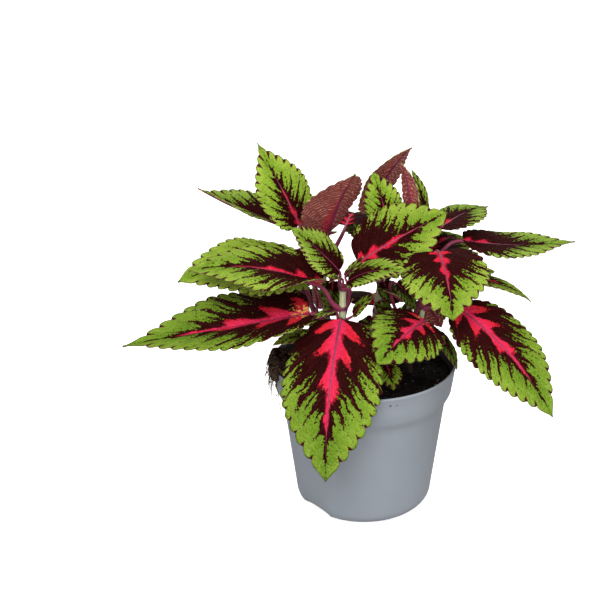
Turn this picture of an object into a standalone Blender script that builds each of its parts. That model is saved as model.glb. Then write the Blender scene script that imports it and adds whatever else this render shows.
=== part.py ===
"""Potted coleus: a leafy pot plant in a thin-walled nursery pot.

The pot stands on the XY plane with its axis on Z.  The plant is five rooted shoots that
stand in blind holes in the soil.  Each leaf is one closed solid, made of a petiole that
starts just off its shoot and a thin blade with a crenate margin.
"""
import math

import bpy
from mathutils import Matrix, Vector, noise

# Driving dimensions, in metres.  LOBE_DEPTH is a share of the blade's half-width;
# LOBE_CORNERS, PLAIN_MARGIN and LAST_NOTCH are places along a lobe or along the margin.
# A blade that folds up round its petiole does so up to CUP_END of its length.
MM = 0.001
POT_HEIGHT = 100 * MM
RIM_RADIUS = 60 * MM
COLLAR_DEPTH = 20 * MM
COLLAR_FOOT_RADIUS = 57.2 * MM
BODY_TOP_RADIUS = 53.6 * MM
BODY_FOOT_RADIUS = 45.4 * MM
FOOT_ROUNDING = 9 * MM
WALL = 1.2 * MM
FLOOR = 2.0 * MM
POT_SIDES = 40
NOTCH_AZIMUTHS = (-139, 41)
NOTCH_HALF_WIDTH = 17
NOTCH_DEPTH = 4.5 * MM
NOTCH_HEIGHT = 13 * MM
DRAIN_HOLES = 6
DRAIN_RADIUS = 3 * MM
DRAIN_CIRCLE = 26 * MM

SOIL_TOP = 89.5 * MM
SOIL_FOOT_RADIUS = 30 * MM
SOIL_ROUGHNESS = 1.6 * MM
SOIL_SIDES = 24
GAP = 0.35 * MM
PATH_PIECES = 3
STEM_SIDES = 8

BLADE_THICKNESS = 0.8 * MM
LOBE_DEPTH = 0.09
LOBE_CORNERS = (0.33, 0.78, 1.0)
PLAIN_MARGIN = 0.16
LAST_NOTCH = 0.9
VEIN_SWEEP = 2.5
CUP_END = 0.5
PETIOLE_ROOT_RADIUS = 1.7 * MM
PETIOLE_TIP_RADIUS = 1.2 * MM
FULL_STALK_WIDTH = 44 * MM


def millimetres(*values):
    """A point or direction given in millimetres, as a vector in metres."""
    return Vector(values) * MM


# Scene and materials

def clear_scene():
    for old in list(bpy.data.objects):
        bpy.data.objects.remove(old, do_unlink=True)


def finish(name, colour, roughness, metallic=0.0):
    """A plain Principled material for one node."""
    material = bpy.data.materials.new(name + "_finish")
    material.use_nodes = True
    shader = material.node_tree.nodes["Principled BSDF"]
    shader.inputs["Base Color"].default_value = (*colour, 1.0)
    shader.inputs["Roughness"].default_value = roughness
    shader.inputs["Metallic"].default_value = metallic
    return material


def add_object(name, points, faces, colour, roughness, smooth_angle=40):
    """Turn points and faces into a named object with its own material."""
    mesh = bpy.data.meshes.new(name)
    mesh.from_pydata([tuple(point) for point in points], [], faces)
    mesh.materials.append(finish(name, colour, roughness))
    mesh.shade_smooth()
    mesh.set_sharp_from_angle(angle=math.radians(smooth_angle))
    thing = bpy.data.objects.new(name, mesh)
    bpy.context.scene.collection.objects.link(thing)
    return thing


def combine(target, others, operation):
    """Join the others to the target, or subtract them, apply that and remove the others."""
    holder = bpy.data.collections.new(target.name + "_tools")
    bpy.context.scene.collection.children.link(holder)
    for other in others:
        holder.objects.link(other)
        bpy.context.scene.collection.objects.unlink(other)
        other.hide_render = True
        other.display_type = "WIRE"
    change = target.modifiers.new("change", "BOOLEAN")
    change.operation = operation
    change.operand_type = "COLLECTION"
    change.collection = holder
    change.solver = "EXACT"
    seen = target.evaluated_get(bpy.context.evaluated_depsgraph_get())
    result = bpy.data.meshes.new_from_object(seen)
    target.modifiers.clear()
    target.data = result
    for other in list(holder.objects):
        bpy.data.objects.remove(other, do_unlink=True)
    bpy.data.collections.remove(holder)


def upright_cylinder(name, centre, radius, low, high, sides):
    """A closed vertical prism, used as a cutter."""
    points = []
    for height in (low, high):
        for step in range(sides):
            turn = 2 * math.pi * step / sides
            x, y = radius * math.cos(turn), radius * math.sin(turn)
            points.append((centre[0] + x, centre[1] + y, height))
    faces = [tuple(reversed(range(sides))), tuple(range(sides, 2 * sides))]
    for step in range(sides):
        after = (step + 1) % sides
        faces.append((step, after, sides + after, sides + step))
    return add_object(name, points, faces, (0.5, 0.5, 0.5), 0.5)


# Pot: one thin turned wall with a collar, a rounded foot and two drainage notches

def notch_share(turn):
    """How deep the foot is pressed in at this turn about the axis, from 0 to 1."""
    deepest = 0.0
    for azimuth in NOTCH_AZIMUTHS:
        away = abs((math.degrees(turn) - azimuth + 180) % 360 - 180)
        if away < NOTCH_HALF_WIDTH:
            deepest = max(deepest, math.cos(math.pi / 2 * away / NOTCH_HALF_WIDTH) ** 0.6)
    return deepest


def pressed_radius(radius, height, turn):
    """The wall's radius with the drainage notch pressed into its foot."""
    fade = max(0.0, 1 - height / NOTCH_HEIGHT)
    return radius - NOTCH_DEPTH * notch_share(turn) * fade


def pot_profile():
    """Radius and height pairs: up the outside, over the rim and down the inside."""
    step_top = POT_HEIGHT - COLLAR_DEPTH
    outside = []
    for part in range(4):
        bend = math.pi / 2 * part / 3
        outside.append((BODY_FOOT_RADIUS - FOOT_ROUNDING * (1 - math.sin(bend)),
                        FOOT_ROUNDING * (1 - math.cos(bend))))
    outside += [(BODY_TOP_RADIUS, step_top - 4 * MM), (COLLAR_FOOT_RADIUS, step_top),
                (RIM_RADIUS - 0.5 * MM, POT_HEIGHT - 2 * MM), (RIM_RADIUS, POT_HEIGHT - 1.4 * MM),
                (RIM_RADIUS, POT_HEIGHT)]
    inside = [(RIM_RADIUS - 1.5 * WALL, POT_HEIGHT), (COLLAR_FOOT_RADIUS - WALL, step_top + 1.2 * MM),
              (BODY_TOP_RADIUS - WALL, step_top - 3 * MM)]
    for part in range(3):
        bend = math.pi / 2 * (1 - part / 2)
        inner = FOOT_ROUNDING - WALL
        inside.append((BODY_FOOT_RADIUS - WALL - inner * (1 - math.sin(bend)),
                       FLOOR + inner * (1 - math.cos(bend))))
    return outside + inside


def build_pot():
    points = [(0, 0, 0)]
    rows = pot_profile()
    for radius, height in rows:
        for step in range(POT_SIDES):
            turn = 2 * math.pi * step / POT_SIDES
            reach = pressed_radius(radius, height, turn)
            points.append((reach * math.cos(turn), reach * math.sin(turn), height))
    points.append((0, 0, FLOOR))
    last = len(points) - 1
    faces = []
    for step in range(POT_SIDES):
        after = (step + 1) % POT_SIDES
        faces.append((0, 1 + after, 1 + step))
        for row in range(len(rows) - 1):
            low = 1 + row * POT_SIDES
            high = low + POT_SIDES
            faces.append((low + step, low + after, high + after, high + step))
        top = 1 + (len(rows) - 1) * POT_SIDES
        faces.append((top + step, top + after, last))
    pot = add_object("pot", points, faces, (0.33, 0.37, 0.42), 0.55, 30)
    drains = []
    for index in range(DRAIN_HOLES):
        turn = math.radians(360 * index / DRAIN_HOLES + 30)
        centre = (DRAIN_CIRCLE * math.cos(turn), DRAIN_CIRCLE * math.sin(turn))
        drains.append(upright_cylinder("drain", centre, DRAIN_RADIUS, -2 * MM, FLOOR + 2 * MM, 8))
    combine(pot, drains, "DIFFERENCE")
    return pot


# Shoots: rounded-square stems that taper, swell at their nodes and end in a bud

def smooth_path(points, pieces):
    """Evenly spaced points on a smooth curve through the given points."""
    chain = [points[0] * 2 - points[1]] + list(points) + [points[-1] * 2 - points[-2]]
    path = []
    for index in range(1, len(chain) - 2):
        before, start, end, after = chain[index - 1:index + 3]
        for piece in range(pieces):
            t = piece / pieces
            line = 2 * start + (end - before) * t
            bend = (2 * before - 5 * start + 4 * end - after) * t * t
            turn = (3 * start - before - 3 * end + after) * t ** 3
            path.append(0.5 * (line + bend + turn))
    path.append(points[-1].copy())
    return path


class Shoot:
    """One stem: its path, its radius along it and the heights of its nodes."""

    def __init__(self, name, route, foot_radius, top_radius, nodes):
        self.name = name
        self.path = smooth_path([millimetres(*point) for point in route], PATH_PIECES)
        self.foot_radius = foot_radius * MM
        self.top_radius = top_radius * MM
        self.nodes = [height * MM for height in nodes]

    def radius(self, height):
        """The stem's half-width at a height, with a swelling at each node."""
        low, high = self.path[0].z, self.path[-1].z
        share = min(1.0, max(0.0, (height - low) / (high - low)))
        plain = self.foot_radius + (self.top_radius - self.foot_radius) * share
        swelling = sum(math.exp(-((height - node) / (2.2 * MM)) ** 2) for node in self.nodes)
        return plain * (1 + 0.22 * min(1.0, swelling))

    def centre(self, height):
        """The axis point at a height and the direction in which the stem grows there."""
        for start, end in zip(self.path, self.path[1:]):
            if height <= end.z or end is self.path[-1]:
                share = (height - start.z) / (end.z - start.z)
                return start.lerp(end, share), (end - start).normalized()

    def heights(self):
        """Ring heights: the path's own points and three round each node."""
        rings = {round(point.z, 5) for point in self.path}
        for node in self.nodes:
            rings = {ring for ring in rings if abs(ring - node) > 3.5 * MM}
            rings |= {node - 3 * MM, node, node + 3 * MM}
        return sorted(ring for ring in rings if self.path[0].z <= ring <= self.path[-1].z)

    def build(self):
        """The stem as a closed solid with a pointed bud."""
        points = []
        heights = self.heights()
        for height in heights:
            centre, axis = self.centre(height)
            across = Vector((1, 0, 0)) - axis * axis.x
            across.normalize()
            along = axis.cross(across)
            for side in range(STEM_SIDES):
                turn = 2 * math.pi * (side + 0.5) / STEM_SIDES
                reach = self.radius(height)
                points.append(centre + (across * math.cos(turn) + along * math.sin(turn)) * reach)
        foot = len(points)
        points.append(self.path[0] - Vector((0, 0, 0.6 * MM)))
        points.append(self.path[-1] + (self.path[-1] - self.path[-2]).normalized() * 3 * MM)
        faces = []
        top = STEM_SIDES * (len(heights) - 1)
        for side in range(STEM_SIDES):
            after = (side + 1) % STEM_SIDES
            for low in range(0, top, STEM_SIDES):
                high = low + STEM_SIDES
                faces.append((low + side, low + after, high + after, high + side))
            faces.append((foot, after, side))
            faces.append((top + side, top + after, foot + 1))
        return add_object(self.name, points, faces, (0.42, 0.40, 0.22), 0.5, 60)


# Leaves: the flat outline, the way it is bent in space, and the solid made from both

def blade_half_width(share, point):
    """Half-width of the plain outline, from 0 to 1, at a share of the blade's length."""
    share = min(1.0, max(0.0, share))
    return math.sin(math.pi * share ** 0.78) ** (0.52 + point * share)


def bend_through(start, guide_out, guide_in, end, t):
    """A point of the cubic curve that leaves start and enters end by the two guides."""
    near = start * (1 - t) ** 3 + guide_out * 3 * t * (1 - t) ** 2
    return near + guide_in * 3 * t * t * (1 - t) + end * t ** 3


class Leaf:
    """One leaf: where its blade starts and ends, how wide it is and how it is bent."""

    def __init__(self, name, shoot, node, base, tip, width, lobes=8, arch=0.08, roll=0, fold=12,
                 sag=0.2, wave=0.03, back=0.07, point=0.5, cup=0, sunk=False):
        self.name = name
        self.shoot = shoot
        self.node = node * MM
        self.base = millimetres(*base)
        self.tip = millimetres(*tip)
        self.half = width * MM / 2
        self.lobes = lobes
        self.arch = arch
        self.fold = math.radians(fold)
        self.sag = sag
        self.wave = wave
        self.back = back
        self.point = point
        self.cup = math.radians(cup)
        self.sunk = sunk
        self.stalk = min(1.0, 0.45 + 0.55 * 2 * self.half / FULL_STALK_WIDTH)
        chord = self.tip - self.base
        self.length = chord.length
        self.forward = chord.normalized()
        level_up = (Vector((0, 0, 1)) - self.forward * self.forward.z).normalized()
        self.up = Matrix.Rotation(math.radians(roll), 3, self.forward) @ level_up
        self.side = self.forward.cross(self.up)

    def midrib(self, share):
        """The point of the arched midrib at a share of its length."""
        bow = 4 * share * (1 - share) * self.arch * self.length
        return self.base + self.forward * self.length * share + self.up * bow

    def place(self, share, across):
        """The point in space of a point of the flat blade."""
        step = 0.002
        run = (self.midrib(share + step) - self.midrib(share - step)).normalized()
        up = self.side.cross(run)
        reach = abs(across) / self.half
        ripple = math.sin(12 * share + (1.7 if across > 0 else 0.0))
        fold = self.fold + self.cup * max(0.0, 1 - max(0.0, share) / CUP_END) ** 2
        lift = abs(across) * math.sin(fold)
        lift += (self.wave * ripple - self.sag) * self.half * reach * reach
        return self.midrib(share) + self.side * across * math.cos(fold) + up * lift

    def normal(self, share, across):
        """The blade's upper normal at a point of the flat blade."""
        step = 0.01
        run = self.place(share + step, across) - self.place(share - step, across)
        reach = 0.02 * self.half
        inner, outer = -reach, reach
        if across > reach:
            inner, outer = across - reach, across
        if across < -reach:
            inner, outer = across, across + reach
        rise = self.place(share, outer) - self.place(share, inner)
        return rise.cross(run).normalized()

    def margin(self, course):
        """Flat coordinates of the plain outline at a course from 0, the base, to 1, the tip."""
        share = course ** 1.25
        behind = self.back * math.sin(math.pi * min(1.0, course / 0.42))
        return share - behind, self.half * blade_half_width(share, self.point)

    def vein_foot(self, course):
        """Where on the midrib the side vein starts that ends at this course of the margin."""
        return course ** VEIN_SWEEP

    def lobed_margin(self, lobe, part):
        """The margin of one lobe: part runs from 0 at its lower notch to 1 at its upper one."""
        start, end = self.notch_course(lobe), self.notch_course(lobe + 1)
        course = start + (end - start) * part
        share, across = self.margin(course)
        step = 0.01
        share_on, across_on = self.margin(min(1.0, course + step))
        share_by, across_by = self.margin(max(0.0, course - step))
        run = Vector(((share_on - share_by) * self.length, across_on - across_by))
        run.normalize()
        depth = LOBE_DEPTH * self.half * (0.35 if lobe == 0 else 1.0)
        bulge = depth * (math.sin(math.pi * part ** 1.3) ** 0.7 - 0.5)
        if lobe == 0 and part < 0.5:
            bulge *= 2 * part
        return share - run.y * bulge / self.length, across + run.x * bulge

    def notch_course(self, lobe):
        """The margin's course at the notch before a lobe."""
        if lobe == 0:
            return 0.0
        return PLAIN_MARGIN + (LAST_NOTCH - PLAIN_MARGIN) * (lobe - 1) / (self.lobes - 1)

    def build(self, colour):
        """The leaf as one closed solid: petiole, both faces of the blade and its margin."""
        flat = {("spine", 0): (0.0, 0.0)}
        for lobe in range(1, self.lobes + 1):
            course = self.notch_course(lobe)
            foot = self.vein_foot(course)
            flat["spine", lobe] = (foot, 0.0)
            for hand in (1, -1):
                share, across = self.lobed_margin(lobe - 1, 1.0)
                middle = (foot + (share - foot) * 0.45, across * 0.5 * hand)
                flat["middle", lobe, hand] = middle
        flat["spine", self.lobes + 1] = (1.0, 0.0)
        for hand in (1, -1):
            flat["rim", 0, hand] = (0.0, PETIOLE_TIP_RADIUS * self.stalk * hand)
            for lobe in range(self.lobes):
                for number, part in enumerate(LOBE_CORNERS):
                    share, across = self.lobed_margin(lobe, part)
                    flat["rim", 3 * lobe + number + 1, hand] = (share, across * hand)
            share, across = self.margin(0.955)
            flat["rim", 3 * self.lobes + 1, hand] = (share, across * hand * 1.15)

        keys = list(flat)
        spot = {key: index for index, key in enumerate(keys)}
        upper, lower = [], []
        for key in keys:
            share, across = flat[key]
            centre = self.place(share, across)
            offset = self.normal(share, across) * BLADE_THICKNESS / 2
            if key == ("spine", 0):
                offset *= 1 + 1.4 * self.stalk
            upper.append(centre + offset)
            lower.append(centre - offset)
        points = upper + lower
        under = len(keys)

        faces = []
        for hand in (1, -1):
            for corners in self.blade_triangles(hand):
                a, b, c = (spot[key] for key in corners)
                if hand > 0:
                    faces += [(a, b, c), (under + a, under + c, under + b)]
                else:
                    faces += [(a, c, b), (under + a, under + b, under + c)]
            edge = [spot["rim", index, hand] for index in range(3 * self.lobes + 2)]
            edge.append(spot["spine", self.lobes + 1])
            for a, b in zip(edge, edge[1:]):
                if hand > 0:
                    faces += [(a, under + a, under + b), (a, under + b, b)]
                else:
                    faces += [(a, under + b, under + a), (a, b, under + b)]

        collar = [spot["spine", 0], spot["rim", 0, 1], under + spot["rim", 0, 1],
                  under + spot["spine", 0], under + spot["rim", 0, -1], spot["rim", 0, -1]]
        self.add_petiole(points, faces, collar)
        return add_object(self.name, points, faces, colour, 0.45, 70)

    def blade_triangles(self, hand):
        """Corners of one half's triangles, the same on both faces."""
        last = self.lobes
        triangles = [(("spine", 0), ("middle", 1, hand), ("spine", 1)),
                     (("middle", 1, hand), ("spine", 0), ("rim", 0, hand)),
                     (("middle", 1, hand), ("rim", 0, hand), ("rim", 1, hand)),
                     (("middle", 1, hand), ("rim", 1, hand), ("rim", 2, hand)),
                     (("middle", 1, hand), ("rim", 2, hand), ("rim", 3, hand))]
        for lobe in range(1, last):
            here, there = ("middle", lobe, hand), ("middle", lobe + 1, hand)
            rim = [("rim", 3 * lobe + step, hand) for step in range(4)]
            triangles += [(("spine", lobe), here, ("spine", lobe + 1)),
                          (("spine", lobe + 1), here, there),
                          (here, rim[0], rim[1]), (here, rim[1], there),
                          (there, rim[1], rim[2]), (there, rim[2], rim[3])]
        tip = ("spine", last + 1)
        here = ("middle", last, hand)
        triangles += [(("spine", last), here, tip), (here, ("rim", 3 * last + 1, hand), tip),
                      (here, ("rim", 3 * last, hand), ("rim", 3 * last + 1, hand))]
        return triangles

    def add_petiole(self, points, faces, collar):
        """A six-sided stalk from just off the shoot to the collar where the blade starts."""
        centre, axis = self.shoot.centre(self.node)
        out = self.base - centre
        out -= axis * out.dot(axis)
        out.normalize()
        root = centre if self.sunk else centre + out * (self.shoot.radius(self.node) + GAP)
        blade_run = (self.midrib(0.01) - self.midrib(0.0)).normalized()
        reach = (self.base - root).length
        lift = (out + axis * 0.6).normalized()
        guide_out = root + lift * reach * 0.45
        guide_in = self.base - blade_run * reach * 0.35
        blade_side = (points[collar[1]] - points[collar[5]]).normalized()
        root_side = out.cross(axis)
        previous = None
        rings = 2 if self.sunk else 3
        for ring in range(rings):
            t = ring / rings
            middle = bend_through(root, guide_out, guide_in, self.base, t)
            ahead = bend_through(root, guide_out, guide_in, self.base, t + 0.02)
            run = (ahead - middle).normalized() if ring else out
            side = root_side.lerp(blade_side, t)
            side = (side - run * side.dot(run)).normalized()
            up = side.cross(run)
            radius = (PETIOLE_ROOT_RADIUS + (PETIOLE_TIP_RADIUS - PETIOLE_ROOT_RADIUS) * t) * self.stalk
            first = len(points)
            for corner in range(6):
                turn = math.pi / 2 - math.pi / 3 * corner
                points.append(middle + side * radius * math.cos(turn) + up * radius * math.sin(turn))
            loop = list(range(first, first + 6))
            if previous:
                self.bridge(faces, previous, loop)
            else:
                faces.append(tuple(reversed(loop)))
            previous = loop
        self.bridge(faces, previous, collar)

    @staticmethod
    def bridge(faces, back, front):
        """Side faces between two rings of six corners."""
        for corner in range(6):
            after = (corner + 1) % 6
            faces.append((back[corner], front[after], front[corner]))
            faces.append((back[corner], back[after], front[after]))


# Soil: a plug of peat with a crumbly top and a blind hole for each shoot

def build_soil(shoots):
    inner_top = COLLAR_FOOT_RADIUS + (RIM_RADIUS - COLLAR_FOOT_RADIUS) * 0.45 - 2 * WALL
    rows = [(SOIL_FOOT_RADIUS, FLOOR + GAP), (40 * MM, 15 * MM),
            (BODY_TOP_RADIUS - WALL - 0.8 * MM, POT_HEIGHT - COLLAR_DEPTH - 4 * MM),
            (COLLAR_FOOT_RADIUS - WALL - 0.8 * MM, POT_HEIGHT - COLLAR_DEPTH + 2 * MM),
            (inner_top, SOIL_TOP)]
    rows += [(inner_top * share, None) for share in (0.82, 0.6, 0.38, 0.18)]
    points = [(0, 0, FLOOR + GAP)]
    for radius, height in rows:
        for step in range(SOIL_SIDES):
            turn = 2 * math.pi * step / SOIL_SIDES
            x, y = radius * math.cos(turn), radius * math.sin(turn)
            points.append((x, y, soil_height(x, y) if height is None else height))
    points.append((0, 0, soil_height(0, 0)))
    last = len(points) - 1
    faces = []
    for step in range(SOIL_SIDES):
        after = (step + 1) % SOIL_SIDES
        faces.append((0, 1 + after, 1 + step))
        for row in range(len(rows) - 1):
            low = 1 + row * SOIL_SIDES
            high = low + SOIL_SIDES
            faces.append((low + step, low + after, high + after, high + step))
        top = 1 + (len(rows) - 1) * SOIL_SIDES
        faces.append((top + step, top + after, last))
    soil = add_object("soil", points, faces, (0.025, 0.02, 0.015), 0.95, 30)
    holes = []
    for shoot in shoots:
        foot = shoot.path[0]
        radius = shoot.foot_radius * 1.12 + 2 * GAP
        holes.append(upright_cylinder("hole", foot, radius, foot.z - 1.2 * MM, SOIL_TOP + 12 * MM, 12))
    combine(soil, holes, "DIFFERENCE")
    return soil


def soil_height(x, y):
    """The uneven top of the peat."""
    return SOIL_TOP + SOIL_ROUGHNESS * noise.noise(Vector((x, y, 0.3)) * 70)


# Root clump: peat held by fine roots, hooked over the rim at the left

CLUMP_STATIONS = 9
CLUMP_START = 168
CLUMP_END = 206
CLUMP_SECTION = [(50, 91), (56, 92), (57, 98), (57.4, 100.4), (60.4, 100.4), (60.4, 98), (60.4, 93),
                 (61.2, 92), (61.8, 98), (61.2, 103), (58, 106), (52, 104), (48, 97)]
CLUMP_WALL_SIDE = range(1, 7)
CLUMP_SEAT = 100.4
CLUMP_ROUGHNESS = 1.4
CLUMP_ROOTS = [[(190, 59, 102), (190, 61.6, 100), (191, 64, 96), (192, 66, 94)],
               [(196, 60.8, 97), (197, 61.5, 94), (199, 64, 93), (200, 66.5, 90), (201, 67, 88)],
               [(202, 60.8, 97), (203, 61, 92), (204, 60, 88), (205, 62, 86), (206, 64, 85.5)],
               [(186, 59, 103), (185, 61.8, 101), (184, 63, 97)]]
ROOT_RADIUS = 0.45 * MM


def round_axis(azimuth, radius, height):
    """A point given by its turn about the pot's axis in degrees, and in millimetres."""
    turn = math.radians(azimuth)
    return millimetres(radius * math.cos(turn), radius * math.sin(turn), height)


def build_root(route):
    """One fine root, a four-sided tapered tube."""
    path = smooth_path([round_axis(*spot) for spot in route], 2)
    points = []
    for index, spot in enumerate(path):
        run = (path[min(index + 1, len(path) - 1)] - path[max(index - 1, 0)]).normalized()
        side = run.cross(Vector((0, 1, 0))).normalized()
        up = side.cross(run)
        radius = ROOT_RADIUS * (1 - 0.4 * index / len(path))
        for reach in (side, up, -side, -up):
            points.append(spot + reach * radius)
    faces = [(0, 1, 2, 3)]
    for row in range(len(path) - 1):
        for corner in range(4):
            after = (corner + 1) % 4
            low, high = row * 4, row * 4 + 4
            faces.append((low + after, low + corner, high + corner, high + after))
    end = len(points) - 4
    faces.append((end + 3, end + 2, end + 1, end))
    return add_object("root", points, faces, (0.2, 0.12, 0.08), 0.9)


def clump_point(azimuth, index, girth):
    """One corner of the clump's section, drawn in towards the rim where its girth is small."""
    radius, height = CLUMP_SECTION[index]
    height = CLUMP_SEAT + (height - CLUMP_SEAT) * girth
    if index not in CLUMP_WALL_SIDE:
        seat = 61 if radius > 60 else 55.5
        radius = seat + (radius - seat) * girth
        rough = CLUMP_ROUGHNESS * girth * noise.noise(round_axis(azimuth, radius, height) * 230)
        radius += rough * (1 if radius > 60 else -1)
        height += abs(rough) if height > CLUMP_SEAT else 0
    return round_axis(azimuth, radius, height)


def build_root_clump():
    """The clump: a rough saddle over the rim, narrowing at both ends, with roots joined to it."""
    points = []
    size = len(CLUMP_SECTION)
    for station in range(CLUMP_STATIONS):
        share = station / (CLUMP_STATIONS - 1)
        azimuth = CLUMP_START + (CLUMP_END - CLUMP_START) * share
        girth = 0.35 + 0.65 * math.sin(math.pi * share) ** 0.6
        points += [clump_point(azimuth, index, girth) for index in range(size)]
    faces = [tuple(range(size)), tuple(reversed(range(size * (CLUMP_STATIONS - 1), size * CLUMP_STATIONS)))]
    for station in range(CLUMP_STATIONS - 1):
        low, high = station * size, station * size + size
        for index in range(size):
            after = (index + 1) % size
            faces.append((low + after, low + index, high + index, high + after))
    clump = add_object("root_clump", points, faces, (0.10, 0.06, 0.035), 0.95, 30)
    combine(clump, [build_root(route) for route in CLUMP_ROOTS], "UNION")
    return clump


# The plant: shoots, then their leaves from the lowest node up

SHOOTS = {
    "front": Shoot("stem_front", [(-12, -19, 76), (-12, -19, 90), (-14, -23, 130), (-13.5, -22, 161)],
                   2.9, 1.7, (108, 124, 137, 145, 158)),
    "left": Shoot("stem_left", [(-22, 7, 76), (-22, 7, 90), (-26, 13, 145), (-27, 16, 174)],
                  2.7, 1.5, (104, 122, 140, 158, 172)),
    "middle": Shoot("stem_middle", [(4, 17, 76), (4, 17, 90), (11, 20, 148), (14, 22, 180)],
                    2.8, 1.5, (106, 126, 145, 163, 177)),
    "right": Shoot("stem_right", [(20, 3, 76), (20, 3, 90), (31, 6, 142), (34, 6, 171)],
                   2.7, 1.5, (106, 124, 142, 157, 163, 169)),
    "low": Shoot("stem_low", [(30, 1, 76), (30, 1, 102), (33, -18, 124), (37, -14, 144)],
                 2.3, 1.2, (100, 114, 128, 142)),
}

LIME = (0.22, 0.42, 0.05)
MAROON = (0.10, 0.012, 0.03)

LEAVES = []
BUD_LEAVES = {shoot: [] for shoot in SHOOTS}


def leaf(shoot, number, node, base, tip, width, colour=LIME, **form):
    """Add one leaf to the plant, named after its shoot and its number up the shoot."""
    name = f"leaf_{shoot}_{number:02d}"
    LEAVES.append((Leaf(name, SHOOTS[shoot], node, base, tip, width, **form), colour))


def bud_leaf(shoot, node, base, tip, width, **form):
    """Add a tiny young leaf that is joined to its shoot in one solid."""
    name = f"bud_leaf_{shoot}_{len(BUD_LEAVES[shoot])}"
    young = Leaf(name, SHOOTS[shoot], node, base, tip, width, lobes=2, sunk=True, **form)
    BUD_LEAVES[shoot].append(young)


# Front shoot: the hanging leaf, its neighbours and the young leaves round the bud
leaf("front", 1, 108, (-24, -18, 124), (-57, -30, 123), 22, lobes=6)
leaf("front", 2, 98, (-22, -24, 117), (-47, -34, 119), 18, lobes=5)
leaf("front", 3, 124, (-34, -28, 144), (-148, -40, 127), 64, lobes=9, arch=0.0, roll=-8, fold=12,
     sag=0.05, point=0.9)
leaf("front", 4, 137, (-15, -30, 140), (-24, -77, 54), 60, lobes=9, arch=0.15, fold=4, back=0.03)
leaf("front", 5, 145, (-28, -27, 162), (-106.5, -30, 172), 46, lobes=9, arch=0.1, roll=-14, cup=50)
leaf("front", 6, 145, (-4, -6, 169), (51, 4, 198), 46, lobes=9, arch=0.05, roll=50, back=0.03)
leaf("front", 7, 158, (-16, -18, 168), (-45, -20, 196), 30, lobes=8, arch=0.04, roll=-30)
leaf("front", 8, 158, (-10, -25, 164), (25, -35, 174), 24, lobes=7, arch=0.12, roll=20)
leaf("front", 9, 137, (-7, -21, 140), (6, -24, 154), 11, lobes=4, roll=30)
bud_leaf("front", 160, (-12, -22, 166), (-1, -20, 178), 5, roll=60)
bud_leaf("front", 160, (-14, -27, 166), (-22, -34, 166), 6, arch=0.2)
bud_leaf("front", 137, (-19, -29, 146), (-33, -35, 142), 8)

# Left shoot
leaf("left", 1, 140, (-38, 6, 158), (-116, -12, 158), 66, lobes=9, arch=0.1, roll=-12)
leaf("left", 2, 158, (-50, 44, 176), (-108, 42, 202), 38, lobes=8, arch=-0.03, roll=-8, fold=32, point=1.3)
leaf("left", 3, 172, (-41.5, 22, 184), (-68, 35, 234), 34, lobes=8, arch=0.05, roll=-45, point=1)
leaf("left", 4, 172, (-24, 22, 177), (-6, -18, 229), 47, lobes=8, arch=0.04, roll=12, fold=26,
     point=1, colour=MAROON)
leaf("left", 5, 140, (-20, 2, 153), (-21, -5, 134), 16, lobes=4)
leaf("left", 6, 104, (-40, 28, 124), (-78, 66, 112), 50, lobes=6, arch=0.12)
leaf("left", 7, 122, (-44, 24, 146), (-98, 52, 138), 48, lobes=6, arch=0.1)
leaf("left", 8, 140, (-34, 40, 156), (-56, 90, 134), 44, lobes=6, arch=0.1)
leaf("left", 9, 158, (-12, 44, 176), (-4, 88, 168), 42, lobes=6, arch=0.1)

# Middle shoot
leaf("middle", 1, 177, (5, 43, 186), (29, 19, 235), 33, lobes=8, fold=15, colour=MAROON)
leaf("middle", 2, 177, (16, 14, 186), (5, 15, 221), 24, lobes=6, arch=0.04, roll=-80)
leaf("middle", 3, 145, (12, 6, 151), (16, 2, 138), 16, lobes=4)
leaf("middle", 4, 145, (2, 30, 166), (-7, 30, 182), 12, lobes=4, roll=-60)
leaf("middle", 5, 106, (8, 36, 122), (6, 90, 103), 52, lobes=7, arch=0.12)
leaf("middle", 6, 126, (18, 42, 144), (42, 92, 132), 50, lobes=6, arch=0.1)
leaf("middle", 7, 145, (12, 44, 164), (8, 96, 158), 46, lobes=6, arch=0.1)
leaf("middle", 8, 163, (28, 44, 174), (52, 84, 162), 40, lobes=6, arch=0.1)
leaf("middle", 9, 177, (38, 22, 188), (29, 20, 221), 11, lobes=5, roll=-60)

# Right shoot
leaf("right", 1, 157, (63, 15, 176), (134, 15, 175), 40, lobes=10, arch=-0.04, roll=6, point=0.9)
leaf("right", 2, 157, (45, -16, 179), (52, -49, 148), 53, lobes=9, arch=0.18, roll=6, fold=6, back=0.12)
leaf("right", 3, 163, (47, 14, 184), (82, 50, 187), 35, lobes=7, arch=0.06, point=1.2)
leaf("right", 4, 169, (29, 14, 190), (22, 14, 227), 20, lobes=6, roll=30, colour=MAROON)
leaf("right", 5, 142, (62, 0, 157), (106, 0, 140), 22, lobes=6)
leaf("right", 6, 124, (20, -4, 154), (32, -8, 137), 22, lobes=5)
leaf("right", 7, 106, (44, 16, 128), (94, 34, 104), 50, lobes=6, arch=0.12)
leaf("right", 8, 124, (50, 20, 146), (82, 66, 136), 46, lobes=6, arch=0.1)
leaf("right", 9, 142, (40, 32, 160), (72, 78, 155), 44, lobes=6, arch=0.1)

# Low shoot
leaf("low", 1, 142, (58, -20, 144), (114, -58, 88), 49, lobes=10, arch=0.1, fold=8, roll=18, back=0.03)
leaf("low", 2, 128, (37, -25, 137), (7, -60, 124), 45, lobes=7, arch=0.12, roll=-22, fold=8)
leaf("low", 3, 100, (14, -24, 106), (18, -36, 95), 16, lobes=4)
leaf("low", 4, 114, (45, -18, 126), (58, -25, 104), 14, lobes=5)
leaf("low", 5, 128, (43, -2, 147), (51, -6, 130), 16, lobes=4)

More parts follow.
